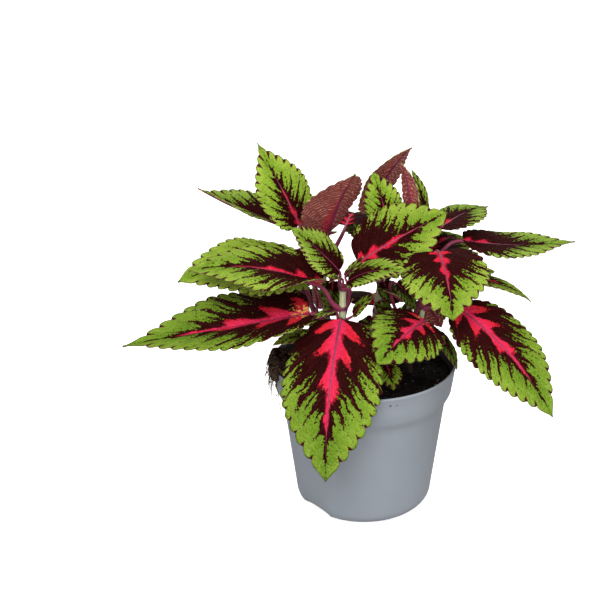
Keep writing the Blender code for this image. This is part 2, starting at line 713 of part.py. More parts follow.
# The young pairs at the tips of the other shoots
bud_leaf("left", 173, (-30, 10, 180), (-34, 4, 185), 7, roll=20)
bud_leaf("left", 173, (-24, 13, 180), (-17, 8, 184), 7, roll=-20)
bud_leaf("middle", 179, (18, 28, 186), (20, 35, 190), 7)
bud_leaf("middle", 179, (11, 19, 186), (4, 20, 191), 6)
bud_leaf("right", 170, (38, 3, 176), (44, -1, 182), 7)
bud_leaf("right", 170, (33, 2, 178), (30, -4, 184), 6)
bud_leaf("low", 143, (35, -16, 148), (29, -22, 152), 6)
bud_leaf("low", 143, (39, -12, 149), (44, -7, 153), 6)


def build_plant():
    clear_scene()
    build_pot()
    build_soil(SHOOTS.values())
    build_root_clump()
    for key, shoot in SHOOTS.items():
        stem = shoot.build()
        combine(stem, [young.build(LIME) for young in BUD_LEAVES[key]], "UNION")
    for each, colour in LEAVES:
        each.build(colour)


build_plant()
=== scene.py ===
import math
import random

import bpy
from mathutils import Matrix, Vector, noise


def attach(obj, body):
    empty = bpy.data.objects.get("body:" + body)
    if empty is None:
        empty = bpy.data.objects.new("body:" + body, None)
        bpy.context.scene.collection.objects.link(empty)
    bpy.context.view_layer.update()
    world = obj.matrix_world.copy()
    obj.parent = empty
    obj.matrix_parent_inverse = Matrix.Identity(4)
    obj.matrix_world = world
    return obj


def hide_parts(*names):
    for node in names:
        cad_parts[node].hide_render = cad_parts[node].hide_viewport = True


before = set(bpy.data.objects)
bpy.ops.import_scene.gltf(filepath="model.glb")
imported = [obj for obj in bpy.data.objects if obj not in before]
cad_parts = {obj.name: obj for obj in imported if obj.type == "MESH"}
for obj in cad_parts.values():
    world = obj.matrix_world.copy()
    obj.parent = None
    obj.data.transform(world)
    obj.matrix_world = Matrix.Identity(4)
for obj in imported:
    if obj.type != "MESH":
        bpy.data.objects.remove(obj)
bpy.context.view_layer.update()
MM = 0.001


# Camera: it looks down on the plant from just in front and a little above the leaves, with the
# frame set off to one side, as in the photo.  It is 0.68 m from the pot's axis, with a long lens.

CAMERA_PLACE = (-9.25 * MM, -676 * MM, 420 * MM)
CAMERA_PITCH = 0.42
FOCAL_PIXELS = 1148.85
FRAME_PIXELS = 600
AXIS_PIXEL = (350, 333)

bpy.ops.object.camera_add(location=CAMERA_PLACE, rotation=(math.pi / 2 - CAMERA_PITCH, 0, 0))
camera = bpy.context.object
camera.data.lens = camera.data.sensor_width * FOCAL_PIXELS / FRAME_PIXELS
camera.data.shift_x = (FRAME_PIXELS / 2 - AXIS_PIXEL[0]) / FRAME_PIXELS
camera.data.shift_y = (AXIS_PIXEL[1] - FRAME_PIXELS / 2) / FRAME_PIXELS
bpy.context.scene.camera = camera


# Pot: a thin round nursery pot of injection-moulded polypropylene, matt blue-grey, with a collar
# that ends in a small step, a rolled rim, a rounded foot with two drainage notches, and six
# drain holes in its floor.  A few grains of peat stick to its wall.

POT_SIDES = 128
RIM_RADIUS = 60 * MM
POT_HEIGHT = 100 * MM
COLLAR_DEPTH = 20 * MM
COLLAR_FOOT_RADIUS = 57.2 * MM
BODY_TOP_RADIUS = 53.6 * MM
BODY_FOOT_RADIUS = 45.4 * MM
FOOT_ROUNDING = 9 * MM
WALL = 1.2 * MM
FLOOR = 2.0 * MM
NOTCH_AZIMUTHS = (-139, 41)
NOTCH_HALF_WIDTH = 17
NOTCH_DEPTH = 4.5 * MM
NOTCH_HEIGHT = 13 * MM
DRAIN_HOLES = 6
DRAIN_RADIUS = 3 * MM
DRAIN_CIRCLE = 26 * MM


def deselect():
    """Leave edit mode and let go of everything that is selected."""
    if bpy.context.object and bpy.context.object.mode != "OBJECT":
        bpy.ops.object.mode_set(mode="OBJECT")
    bpy.ops.object.select_all(action="DESELECT")


def pick(piece):
    """Make one object the only one selected, and the active one."""
    deselect()
    piece.select_set(True)
    bpy.context.view_layer.objects.active = piece


def apply_modifiers(piece):
    pick(piece)
    for modifier in list(piece.modifiers):
        bpy.ops.object.modifier_apply(modifier=modifier.name)


def turned_solid(name, rows, sides):
    """A closed turned solid: rows are radius and height pairs, from the foot to the last ring."""
    deselect()
    bpy.ops.mesh.primitive_circle_add(vertices=sides, radius=rows[0][0], fill_type="TRIFAN",
                                      location=(0, 0, 0))
    piece = bpy.context.object
    piece.name = name
    for vertex in piece.data.vertices:
        vertex.co.z = rows[0][1]
    bpy.ops.object.mode_set(mode="EDIT")
    bpy.ops.mesh.select_all(action="SELECT")
    for (radius, height), (before, below) in zip(rows[1:], rows):
        bpy.ops.mesh.extrude_region_move(TRANSFORM_OT_translate={"value": (0, 0, height - below)})
        grow = radius / before
        bpy.ops.transform.resize(value=(grow, grow, 1), center_override=(0, 0, height))
    bpy.ops.mesh.select_all(action="SELECT")
    bpy.ops.mesh.region_to_loop()
    bpy.ops.mesh.edge_face_add()
    bpy.ops.mesh.select_all(action="SELECT")
    bpy.ops.mesh.normals_make_consistent(inside=False)
    bpy.ops.object.mode_set(mode="OBJECT")
    return piece


def quarter(radius, height, reach_out, reach_up, start, end, steps):
    """Points on a quarter of an ellipse about a centre, from one angle in degrees to another."""
    spots = []
    for step in range(steps + 1):
        turn = math.radians(start + (end - start) * step / steps)
        spots.append((radius + reach_out * math.cos(turn), height + reach_up * math.sin(turn)))
    return spots


def pot_rows():
    """The pot's profile: up the outside, over the rolled rim, down the inside to the floor."""
    step_top = POT_HEIGHT - COLLAR_DEPTH
    foot = BODY_FOOT_RADIUS - FOOT_ROUNDING
    rows = quarter(foot, FOOT_ROUNDING, FOOT_ROUNDING, FOOT_ROUNDING, -90, 0, 8)
    rows += [(BODY_TOP_RADIUS - 0.6 * MM, step_top - 9 * MM), (BODY_TOP_RADIUS, step_top - 5 * MM),
             (BODY_TOP_RADIUS + 1.2 * MM, step_top - 3.2 * MM),
             (COLLAR_FOOT_RADIUS - 1.0 * MM, step_top - 0.6 * MM),
             (COLLAR_FOOT_RADIUS, step_top + 1.6 * MM),
             (COLLAR_FOOT_RADIUS + 1.1 * MM, step_top + 9 * MM),
             (RIM_RADIUS - 0.6 * MM, POT_HEIGHT - 2.4 * MM)]
    rows += quarter(RIM_RADIUS - 0.9 * MM, POT_HEIGHT - 0.9 * MM, 0.9 * MM, 0.9 * MM, -30, 150, 8)
    rows += [(COLLAR_FOOT_RADIUS - WALL, step_top + 1.2 * MM),
             (BODY_TOP_RADIUS - WALL, step_top - 3 * MM)]
    inner = FOOT_ROUNDING - WALL
    rows += quarter(BODY_FOOT_RADIUS - WALL - inner, FLOOR + inner, inner, inner, 0, -90, 5)
    return rows


def press_notches(piece):
    """Push the foot in at the two drainage notches."""
    for vertex in piece.data.vertices:
        if vertex.co.z < NOTCH_HEIGHT and vertex.co.xy.length > BODY_FOOT_RADIUS / 2:
            turn = math.degrees(math.atan2(vertex.co.y, vertex.co.x))
            for azimuth in NOTCH_AZIMUTHS:
                away = abs((turn - azimuth + 180) % 360 - 180)
                if away < NOTCH_HALF_WIDTH:
                    depth = math.cos(math.pi / 2 * away / NOTCH_HALF_WIDTH) ** 0.6
                    push = NOTCH_DEPTH * depth * (1 - vertex.co.z / NOTCH_HEIGHT)
                    vertex.co.xy *= 1 - push / vertex.co.xy.length


def drill_drains(piece):
    """Cut the drain holes through the floor."""
    for index in range(DRAIN_HOLES):
        turn = math.radians(360 * index / DRAIN_HOLES + 30)
        place = (DRAIN_CIRCLE * math.cos(turn), DRAIN_CIRCLE * math.sin(turn), FLOOR / 2)
        deselect()
        bpy.ops.mesh.primitive_cylinder_add(vertices=24, radius=DRAIN_RADIUS, depth=4 * FLOOR,
                                            location=place)
        drill = bpy.context.object
        cut = piece.modifiers.new("drain", "BOOLEAN")
        cut.operation = "DIFFERENCE"
        cut.object = drill
        apply_modifiers(piece)
        bpy.data.objects.remove(drill, do_unlink=True)


def new_finish(name):
    """A material with only a Principled shader, given back with that shader."""
    material = bpy.data.materials.new(name)
    material.use_nodes = True
    return material, material.node_tree.nodes["Principled BSDF"]


def put(tree, kind, inputs=None, **settings):
    """Add a node, with its settings and with values, readings or sockets for its inputs."""
    made = tree.nodes.new(kind)
    for key, value in settings.items():
        setattr(made, key, value)
    for key, value in (inputs or {}).items():
        feed(made.inputs[key], value)
    return made


def feed(socket, value):
    """Link a reading or a socket, or set a number, colour or vector, into an input."""
    if isinstance(value, Reading):
        value = value.socket
    if isinstance(value, bpy.types.NodeSocket):
        socket.id_data.links.new(value, socket)
    else:
        socket.default_value = value


class Reading:
    """A number that varies over a surface.  Arithmetic on it adds Math nodes to its material."""

    def __init__(self, socket):
        self.socket = socket

    def math(self, operation, other=0.0, swapped=False):
        """One Math node's result."""
        made = put(self.socket.id_data, "ShaderNodeMath", operation=operation)
        feed(made.inputs[1 if swapped else 0], self)
        feed(made.inputs[0 if swapped else 1], other)
        return Reading(made.outputs[0])

    def __add__(self, other):
        return self.math("ADD", other)

    def __sub__(self, other):
        return self.math("SUBTRACT", other)

    def __rsub__(self, other):
        return self.math("SUBTRACT", other, swapped=True)

    def __mul__(self, other):
        return self.math("MULTIPLY", other)

    def __pow__(self, other):
        return self.math("POWER", other)

    def __gt__(self, other):
        return self.math("GREATER_THAN", other)

    def __lt__(self, other):
        return self.math("LESS_THAN", other)

    def __abs__(self):
        return self.math("ABSOLUTE")

    __radd__ = __add__

    def clamped(self):
        """The same reading, kept between 0 and 1."""
        self.socket.node.use_clamp = True
        return self

    def ramp(self, low, high):
        """0 at low and 1 at high, smooth between."""
        made = put(self.socket.id_data, "ShaderNodeMapRange",
                   {"Value": self, "From Min": low, "From Max": high},
                   interpolation_type="SMOOTHSTEP")
        return Reading(made.outputs["Result"])

    def mix(self, first, second):
        """The first colour, turning into the second as the reading goes from 0 to 1."""
        made = put(self.socket.id_data, "ShaderNodeMix", {0: self}, data_type="RGBA")
        feed(made.inputs[6], first)
        feed(made.inputs[7], second)
        return made.outputs[2]


def object_place(shader):
    """Where each point of the piece is."""
    return put(shader.id_data, "ShaderNodeTexCoord").outputs["Object"]


def parts(vector):
    """The three numbers of a vector."""
    made = put(vector.id_data, "ShaderNodeSeparateXYZ", {"Vector": vector})
    return [Reading(number) for number in made.outputs]


def speckle(place, scale, detail=3.0, roughness=0.55):
    """Cloudy noise from 0 to 1 at a place."""
    made = put(place.id_data, "ShaderNodeTexNoise", {"Vector": place, "Scale": scale,
                                                     "Detail": detail, "Roughness": roughness})
    return Reading(made.outputs[0])


def cells(place, scale):
    """Random cells: the distance to a cell's centre, and a number drawn for that cell."""
    made = put(place.id_data, "ShaderNodeTexVoronoi", {"Vector": place, "Scale": scale})
    drawn = put(place.id_data, "ShaderNodeSeparateColor", {"Color": made.outputs["Color"]})
    return Reading(made.outputs["Distance"]), Reading(drawn.outputs[0])


def dress(shader, colour, roughness, gloss=0.5):
    """Give a shader its colour, its roughness and its specular level."""
    feed(shader.inputs["Base Color"], colour)
    feed(shader.inputs["Roughness"], roughness)
    shader.inputs["Specular IOR Level"].default_value = gloss


def bumped(shader, height, depth):
    """Feed a height from 0 to 1, this deep in metres, to the shader as a bump."""
    made = put(shader.id_data, "ShaderNodeBump",
               {"Height": height, "Distance": depth, "Strength": 1.0})
    feed(shader.inputs["Normal"], made.outputs["Normal"])


def pot_finish():
    """Matt grey plastic: a fine grain, faint scuffs, stuck grains of peat, and painted shade, near
    black, on the inner wall below the rim.
    """
    material, shader = new_finish("pot_plastic")
    tree = shader.id_data
    place = object_place(shader)
    cloud = speckle(place, 28, 4)
    colour = cloud.mix((0.190, 0.211, 0.238, 1), (0.224, 0.246, 0.274, 1))
    streaks = put(tree, "ShaderNodeMapping", {"Vector": place, "Scale": (60, 60, 4)}).outputs[0]
    scuffs = speckle(streaks, 3, 5).ramp(0.62, 0.8)
    colour = (scuffs * 0.25).mix(colour, (0.33, 0.355, 0.38, 1))
    height = parts(place)[2]
    near_rim = height.ramp(0.045, 0.1)
    from_grain, chance = cells(place, 260.0)
    dirt = (chance > 1.0 - near_rim * 0.045) * (from_grain < 0.2)
    colour = (dirt * 0.75).mix(colour, (0.012, 0.008, 0.006, 1))
    facing = put(tree, "ShaderNodeNewGeometry").outputs["Normal"]
    outward = put(tree, "ShaderNodeVectorMath", {0: place, 1: (1, 1, 0)}, operation="MULTIPLY")
    turned = put(tree, "ShaderNodeVectorMath", {0: facing, 1: outward.outputs[0]},
                 operation="DOT_PRODUCT")
    inward = Reading(turned.outputs["Value"]) < -0.02
    # Painted shade: the inner wall, facing the axis, turns near black below the rim, where the collar
    # shades it.
    painted_inner_shade = inward * height.ramp(0.0985, 0.0965)
    colour = (painted_inner_shade * 0.93).mix(colour, (0.006, 0.004, 0.003, 1))
    dress(shader, colour, 0.40 + cloud * 0.16, 0.3)
    bumped(shader, speckle(place, 1600, 2), 0.00004)
    return material


pot = turned_solid("nursery_pot", pot_rows(), POT_SIDES)
press_notches(pot)
drill_drains(pot)
pot.data.materials.append(pot_finish())
pick(pot)
bpy.ops.object.shade_smooth_by_angle(angle=math.radians(35))
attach(pot, "root")
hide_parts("pot")


# Soil: dark moist peat with an uneven, crumbly top.  It is one plug that fills the pot, with
# loose crumbs on top and a scatter of pale sand and perlite grains.

SOIL_TOP = 89.5 * MM
SOIL_SIDES = 96
SOIL_RINGS = 34
SOIL_EDGE_RADIUS = 56.0 * MM
SOIL_FOOT_RADIUS = 30 * MM
STEM_FEET = [(-12, -19), (-22, 7), (4, 17), (20, 3), (30, 1)]
CRUMBS = 1500
PALE_GRAINS = 420


def soil_height(x, y):
    """The uneven top of the peat."""
    low = 1.6 * MM * noise.noise(Vector((x, y, 0.3)) * 70)
    fine = 0.7 * MM * noise.noise(Vector((x, y, 0.7)) * 260)
    grit = 0.35 * MM * noise.noise(Vector((x, y, 0.1)) * 700)
    return SOIL_TOP + low + fine + grit


def soil_rows():
    """Foot, side and rings of the flat top, which is then made uneven."""
    rows = [(SOIL_FOOT_RADIUS, FLOOR + 0.35 * MM), (40 * MM, 15 * MM),
            (BODY_TOP_RADIUS - WALL - 0.6 * MM, POT_HEIGHT - COLLAR_DEPTH - 4 * MM),
            (COLLAR_FOOT_RADIUS - WALL - 0.6 * MM, POT_HEIGHT - COLLAR_DEPTH + 2 * MM),
            (SOIL_EDGE_RADIUS + 0.5 * MM, SOIL_TOP - 0.8 * MM)]
    for ring in range(SOIL_RINGS):
        rows.append((SOIL_EDGE_RADIUS * (1 - ring / SOIL_RINGS), SOIL_TOP))
    return rows


def peat_finish():
    """Near-black peat, with browner crumbs and a damp sheen in places."""
    material, shader = new_finish("peat")
    place = object_place(shader)
    tone = cells(place, 520.0)[1]
    colour = tone.mix((0.0012, 0.0008, 0.0006, 1), (0.0060, 0.0040, 0.0026, 1))
    brown = speckle(place, 240, 3).ramp(0.56, 0.72)
    colour = (brown * 0.5).mix(colour, (0.020, 0.012, 0.007, 1))
    dress(shader, colour, 0.95 - speckle(place, 60) * 0.3, 0.15)
    bumped(shader, speckle(place, 900, 4, 0.7), 0.0006)
    return material


def pale_grain_finish():
    """Sand and perlite: off-white to tan grains."""
    material, shader = new_finish("pale_grain")
    place = object_place(shader)
    dress(shader, speckle(place, 150, 1).mix((0.09, 0.06, 0.035, 1), (0.38, 0.34, 0.27, 1)), 0.7)
    bumped(shader, speckle(place, 2500, 2), 0.0002)
    return material


def scatter(name, spots, draw, material):
    """One piece of many small rough grains; each spot is a centre and a size."""
    deselect()
    bpy.ops.mesh.primitive_ico_sphere_add(subdivisions=1, radius=1, location=(0, 0, 0))
    grain = bpy.context.object
    corners = [vertex.co.copy() for vertex in grain.data.vertices]
    sides = [tuple(face.vertices) for face in grain.data.polygons]
    bpy.data.objects.remove(grain, do_unlink=True)
    points = []
    faces = []
    for centre, size in spots:
        turn = Matrix.Rotation(draw.uniform(0, math.tau), 3, "Z")
        squash = Vector((draw.uniform(0.6, 1.2), draw.uniform(0.6, 1.2), draw.uniform(0.45, 0.8)))
        first = len(points)
        for corner in corners:
            rough = corner * draw.uniform(0.75, 1.15) * squash
            points.append(centre + turn @ rough * size)
        faces += [tuple(first + index for index in side) for side in sides]
    mesh = bpy.data.meshes.new(name)
    mesh.from_pydata(points, [], faces)
    mesh.materials.append(material)
    piece = bpy.data.objects.new(name, mesh)
    bpy.context.scene.collection.objects.link(piece)
    return piece


def soil_spots(count, draw, smallest, largest):
    """Places on the soil, clear of the stems, each with a size that is mostly small."""
    spots = []
    while len(spots) < count:
        reach = 55 * MM * math.sqrt(draw.random())
        turn = draw.uniform(0, math.tau)
        x, y = reach * math.cos(turn), reach * math.sin(turn)
        size = (smallest + (largest - smallest) * draw.random() ** 4) * MM
        if all(math.hypot(x - a * MM, y - b * MM) > 4 * MM for a, b in STEM_FEET):
            spots.append((Vector((x, y, soil_height(x, y) + size * 0.25)), size))
    return spots


peat = peat_finish()
soil = turned_solid("peat_plug", soil_rows(), SOIL_SIDES)
for vertex in soil.data.vertices:
    if vertex.co.z > SOIL_TOP - 0.5 * MM:
        vertex.co.z = soil_height(vertex.co.x, vertex.co.y)
soil.data.materials.append(peat)
pick(soil)
bpy.ops.object.shade_smooth()
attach(soil, "root")
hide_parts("soil")

grain_draw = random.Random(5)
crumbs = scatter("peat_crumbs", soil_spots(CRUMBS, grain_draw, 0.35, 1.9), grain_draw, peat)
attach(crumbs, "root")

grains = scatter("pale_grains", soil_spots(PALE_GRAINS, grain_draw, 0.16, 0.6), grain_draw,
                 pale_grain_finish())
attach(grains, "root")


# Root clump: a lump of brown peat held together by fine roots, hooked over the rim at the left.
# It starts from the solid of that place, is broken up into crumbs, and gets loose root ends.

CLUMP_VOXEL = 0.55 * MM
CLUMP_LUMPS_MM = 1.5
ROOT_RADIUS = 0.3 * MM
CLUMP_WALL = (57.3 * MM, 60.5 * MM, 100.5 * MM)
FINE_ROOTS = 44
LONG_ROOTS = 16
CLUMP_TURNS = (176, 204)


def clump_finish():
    """Brown fibrous peat: light broken fibres over dark crumbs."""
    material, shader = new_finish("fibrous_peat")
    place = object_place(shader)
    crumbly = speckle(place, 330, 4).ramp(0.42, 0.66)
    colour = crumbly.mix((0.008, 0.004, 0.002, 1), (0.085, 0.047, 0.025, 1))
    strands = put(shader.id_data, "ShaderNodeMapping", {"Vector": place, "Scale": (1.0, 0.35, 1.0),
                                                        "Rotation": (0.5, 0.3, 0.9)}).outputs[0]
    fibre = speckle(strands, 700, 2).ramp(0.60, 0.72)
    dress(shader, (fibre * 0.6).mix(colour, (0.25, 0.17, 0.11, 1)), 0.9, 0.15)
    bumped(shader, speckle(place, 800, 4, 0.7), 0.0007)
    return material


def root_finish():
    """Dry fine roots, tan to brown."""
    material, shader = new_finish("dry_root")
    place = object_place(shader)
    dress(shader, speckle(place, 400, 2).mix((0.018, 0.009, 0.005, 1), (0.10, 0.060, 0.036, 1)), 0.8)
    bumped(shader, speckle(place, 1500, 2), 0.0001)
    return material


def rod(name, spots, widths, sides_step, material):
    """A round tube through the spots with these half-widths, closed at both ends."""
    curve = bpy.data.curves.new(name, "CURVE")
    curve.dimensions = "3D"
    curve.bevel_depth = 1.0
    curve.bevel_resolution = sides_step
    curve.use_fill_caps = True
    line = curve.splines.new("POLY")
    line.points.add(len(spots) - 1)
    for point, spot, width in zip(line.points, spots, widths):
        point.co = (*spot, 1)
        point.radius = width
    piece = bpy.data.objects.new(name, curve)
    bpy.context.scene.collection.objects.link(piece)
    pick(piece)
    bpy.ops.object.convert(target="MESH")
    piece = bpy.context.object
    piece.data.materials.clear()
    piece.data.materials.append(material)
    pick(piece)
    bpy.ops.object.shade_smooth()
    return piece


def joined(name, pieces):
    """Several objects made one, under a new name."""
    deselect()
    for piece in pieces:
        piece.select_set(True)
    bpy.context.view_layer.objects.active = pieces[0]
    bpy.ops.object.join()
    whole = bpy.context.object
    whole.name = name
    return whole


def weld(piece, threshold=0.01 * MM):
    """Merge the points that lie within the threshold of each other."""
    pick(piece)
    bpy.ops.object.mode_set(mode="EDIT")
    bpy.ops.mesh.select_all(action="SELECT")
    bpy.ops.mesh.remove_doubles(threshold=threshold)
    bpy.ops.object.mode_set(mode="OBJECT")


def rough_clump():
    """A finer copy of the clump's solid, pushed in and out away from the pot's wall."""
    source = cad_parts["root_clump"]
    clump = source.copy()
    clump.data = source.data.copy()
    clump.parent = None
    for key in list(clump.keys()):
        del clump[key]
    clump.name = "fibrous_clump"
    bpy.context.scene.collection.objects.link(clump)
    weld(clump)
    grid = clump.modifiers.new("even", "REMESH")
    grid.mode = "VOXEL"
    grid.voxel_size = CLUMP_VOXEL
    apply_modifiers(clump)
    inner, outer, top = CLUMP_WALL
    for vertex in clump.data.vertices:
        reach = vertex.co.xy.length
        if inner < reach < outer and vertex.co.z < top:
            continue
        lump = noise.noise(vertex.co * 330) + 0.6 * noise.noise(vertex.co * 900)
        vertex.co += vertex.normal * lump * CLUMP_LUMPS_MM * MM
    return clump


def fine_root(index, draw, material):
    """One loose root end that leaves the clump, droops outside the pot and wanders."""
    long = index < LONG_ROOTS
    turn = draw.uniform(*CLUMP_TURNS)
    reach = draw.uniform(57, 61) * MM
    height = draw.uniform(92 if long else 95, 104) * MM
    steps = draw.randint(18, 24) if long else draw.randint(7, 14)
    heading = draw.uniform(-0.5, 0.5)
    fall = draw.uniform(0.2, 0.6 if long else 1.0)
    spots = []
    for _ in range(steps):
        angle = math.radians(turn)
        spots.append(Vector((reach * math.cos(angle), reach * math.sin(angle), height)))
        turn += (heading + draw.uniform(-0.7, 0.7)) * 1.1
        reach += draw.uniform(-0.2, 0.9) * MM * (1.2 - fall)
        reach = max(reach, 60.9 * MM)
        height -= draw.uniform(0.3, 1.3) * MM * fall
        fall = min(1.1, fall + 0.05)
    widths = [ROOT_RADIUS * (1 - 0.6 * step / steps) for step in range(steps)]
    return rod("root_end", spots, widths, 0, material)


clump = rough_clump()
clump.data.materials.clear()
clump.data.materials.append(clump_finish())
pick(clump)
bpy.ops.object.shade_smooth()
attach(clump, "root")
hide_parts("root_clump")

root_draw = random.Random(11)
dry_root = root_finish()
roots = joined("fine_roots", [fine_root(index, root_draw, dry_root) for index in range(FINE_ROOTS)])
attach(roots, "root")


# Shoots: five square, slightly grooved stems, pale green between their swollen purple nodes.
# Each is rooted in the peat and ends in a bud.  All are grown as one piece with their buds.

STEM_SIDES = 24
STEM_STEP = 0.8 * MM
PATH_PIECES = 6


def millimetres(*values):
    return Vector(values) * MM


def smooth_path(points, pieces):
    """Evenly spaced points on a smooth curve through the given points."""
    chain = [points[0] * 2 - points[1]] + list(points) + [points[-1] * 2 - points[-2]]
    path = []
    for index in range(1, len(chain) - 2):
        before, start, end, after = chain[index - 1:index + 3]
        for piece in range(pieces):
            t = piece / pieces
            line = 2 * start + (end - before) * t
            bend = (2 * before - 5 * start + 4 * end - after) * t * t
            turn = (3 * start - before - 3 * end + after) * t ** 3
            path.append(0.5 * (line + bend + turn))
    path.append(points[-1].copy())
    return path


class Shoot:
    """One stem: its path, its half-width along it and the heights of its nodes."""

    def __init__(self, name, route, foot_radius, top_radius, nodes):
        self.name = name
        self.path = smooth_path([millimetres(*point) for point in route], PATH_PIECES)
        self.foot_radius = foot_radius * MM
        self.top_radius = top_radius * MM
        self.nodes = [height * MM for height in nodes]

    def swelling(self, height):
        """1 at a node, fading to 0 a few millimetres away."""
        return min(1.0, sum(math.exp(-((height - node) / (2.2 * MM)) ** 2) for node in self.nodes))

    def radius(self, height):
        low, high = self.path[0].z, self.path[-1].z
        share = min(1.0, max(0.0, (height - low) / (high - low)))
        plain = self.foot_radius + (self.top_radius - self.foot_radius) * share
        return plain * (1 + 0.22 * self.swelling(height))

    def centre(self, height):
        """The axis point at a height and the direction in which the stem grows there."""
        for start, end in zip(self.path, self.path[1:]):
            if height <= end.z or end is self.path[-1]:
                share = (height - start.z) / (end.z - start.z)
                return start.lerp(end, share), (end - start).normalized()


SHOOTS = {
    "front": Shoot("front", [(-12, -19, 76), (-12, -19, 90), (-14, -23, 130), (-13.5, -22, 161)],
                   2.9, 1.7, (108, 124, 137, 145, 158)),
    "left": Shoot("left", [(-22, 7, 76), (-22, 7, 90), (-26, 13, 145), (-27, 16, 174)],
                  2.7, 1.5, (104, 122, 140, 158, 172)),
    "middle": Shoot("middle", [(4, 17, 76), (4, 17, 90), (11, 20, 148), (14, 22, 180)],
                    2.8, 1.5, (106, 126, 145, 163, 177)),
    "right": Shoot("right", [(20, 3, 76), (20, 3, 90), (31, 6, 142), (34, 6, 171)],
                   2.7, 1.5, (106, 124, 142, 157, 163, 169)),
    "low": Shoot("low", [(30, 1, 76), (30, 1, 102), (33, -18, 124), (37, -14, 144)],
                 2.3, 1.2, (100, 114, 128, 142)),
}


def add_vectors(mesh, name, values):
    """Store one vector for each point of a mesh, for its material to read."""
    layer = mesh.attributes.new(name, "FLOAT_VECTOR", "POINT")
    layer.data.foreach_set("vector", [number for value in values for number in value])


def grid_sheet(name, columns, rows):
    """A flat sheet of columns by rows faces, and each vertex's column and row."""
    deselect()
    bpy.ops.mesh.primitive_grid_add(x_subdivisions=columns, y_subdivisions=rows, size=2,
                                    location=(0, 0, 0))
    sheet = bpy.context.object
    sheet.name = name
    spots = []
    for vertex in sheet.data.vertices:
        spots.append((round((vertex.co.x + 1) / 2 * columns), round((vertex.co.y + 1) / 2 * rows)))
    return sheet, spots


def laid_on(tree, name):
    """A vector that is stored on the mesh for each of its points."""
    return put(tree, "ShaderNodeAttribute", attribute_name=name).outputs["Vector"]


def vector_of(x, y, z=0.0):
    """A vector of three readings or numbers."""
    return put(x.socket.id_data, "ShaderNodeCombineXYZ", {"X": x, "Y": y, "Z": z}).outputs[0]


def stem_finish():
    """Pale green skin with fine ridges, flushed purple at the nodes, and darker, nearly black, towards
    the soil.
    """
    material, shader = new_finish("stem_skin")
    node_share, turn, height = parts(laid_on(shader.id_data, "stem"))
    ridges = speckle(vector_of(turn * 40.0, height * 0.12), 1.0, 3)
    colour = ridges.mix((0.20, 0.24, 0.10, 1), (0.50, 0.50, 0.33, 1))
    flush = node_share + (speckle(object_place(shader), 160, 3) - 0.5) * 0.9
    colour = flush.ramp(0.28, 0.85).mix(colour, (0.105, 0.012, 0.045, 1))
    # Below about 116 mm the skin turns darker, nearly black, towards the soil.
    colour = height.ramp(116.0, 102.0).mix(colour, (0.035, 0.026, 0.014, 1))
    dress(shader, colour, 0.5, 0.25)
    bumped(shader, ridges, 0.0003)
    return material


def build_stem(shoot, material):
    """The square stem, from inside the soil to the point of its bud."""
    low, high = shoot.path[0].z, shoot.path[-1].z
    rows = round((high - low) / STEM_STEP)
    stem, spots = grid_sheet(shoot.name + "_stem", STEM_SIDES, rows)
    values = []
    for vertex, (column, row) in zip(stem.data.vertices, spots):
        height = low + (high - low) * row / rows
        centre, axis = shoot.centre(height)
        across = Vector((1, 0, 0)) - axis * axis.x
        across.normalize()
        along = axis.cross(across)
        turn = math.tau * column / STEM_SIDES
        square = 1 + 0.09 * math.cos(4 * turn) + 0.03 * math.cos(8 * turn)
        taper = min(1.0, math.sqrt(max(0.0, (high - height) / (2.5 * MM))))
        reach = shoot.radius(height) * square * (0.25 + 0.75 * taper)
        vertex.co = centre + (across * math.cos(turn) + along * math.sin(turn)) * reach
        values.append((shoot.swelling(height), column / STEM_SIDES, height / MM))
    add_vectors(stem.data, "stem", values)
    weld(stem)
    bpy.ops.object.mode_set(mode="EDIT")
    bpy.ops.mesh.select_all(action="SELECT")
    bpy.ops.mesh.region_to_loop()
    bpy.ops.mesh.fill_holes(sides=0)
    bpy.ops.mesh.select_all(action="SELECT")
    bpy.ops.mesh.normals_make_consistent(inside=False)
    bpy.ops.object.mode_set(mode="OBJECT")
    stem.data.materials.append(material)
    bpy.ops.object.shade_smooth_by_angle(angle=math.radians(60))
    return stem


stem_skin = stem_finish()
stems = {key: build_stem(shoot, stem_skin) for key, shoot in SHOOTS.items()}


# Leaves: each is a thin, quilted blade with a scalloped edge on a round petiole, which runs on
# under the blade as its midrib.  The blade is lime at the edge, maroon in the middle and, on
# the older leaves, pink along the midrib; the back is dull maroon with raised veins, paler in
# colour and with a painted glint along them.

BLADE_THICKNESS = 0.5 * MM
LOBE_DEPTH = 0.075
PLAIN_MARGIN = 0.16
LAST_NOTCH = 0.9
VEIN_SWEEP = 3.6
MAIN_VEINS = 7.4
PETIOLE_ROOT_RADIUS = 1.7 * MM
PETIOLE_TIP_RADIUS = 1.2 * MM
FULL_STALK_WIDTH = 44 * MM
QUILT_DEPTH = 0.55 * MM
CUP_END = 0.5
RUNG_PITCH = 2.6 * MM
RUNG_SLANT = math.radians(55)


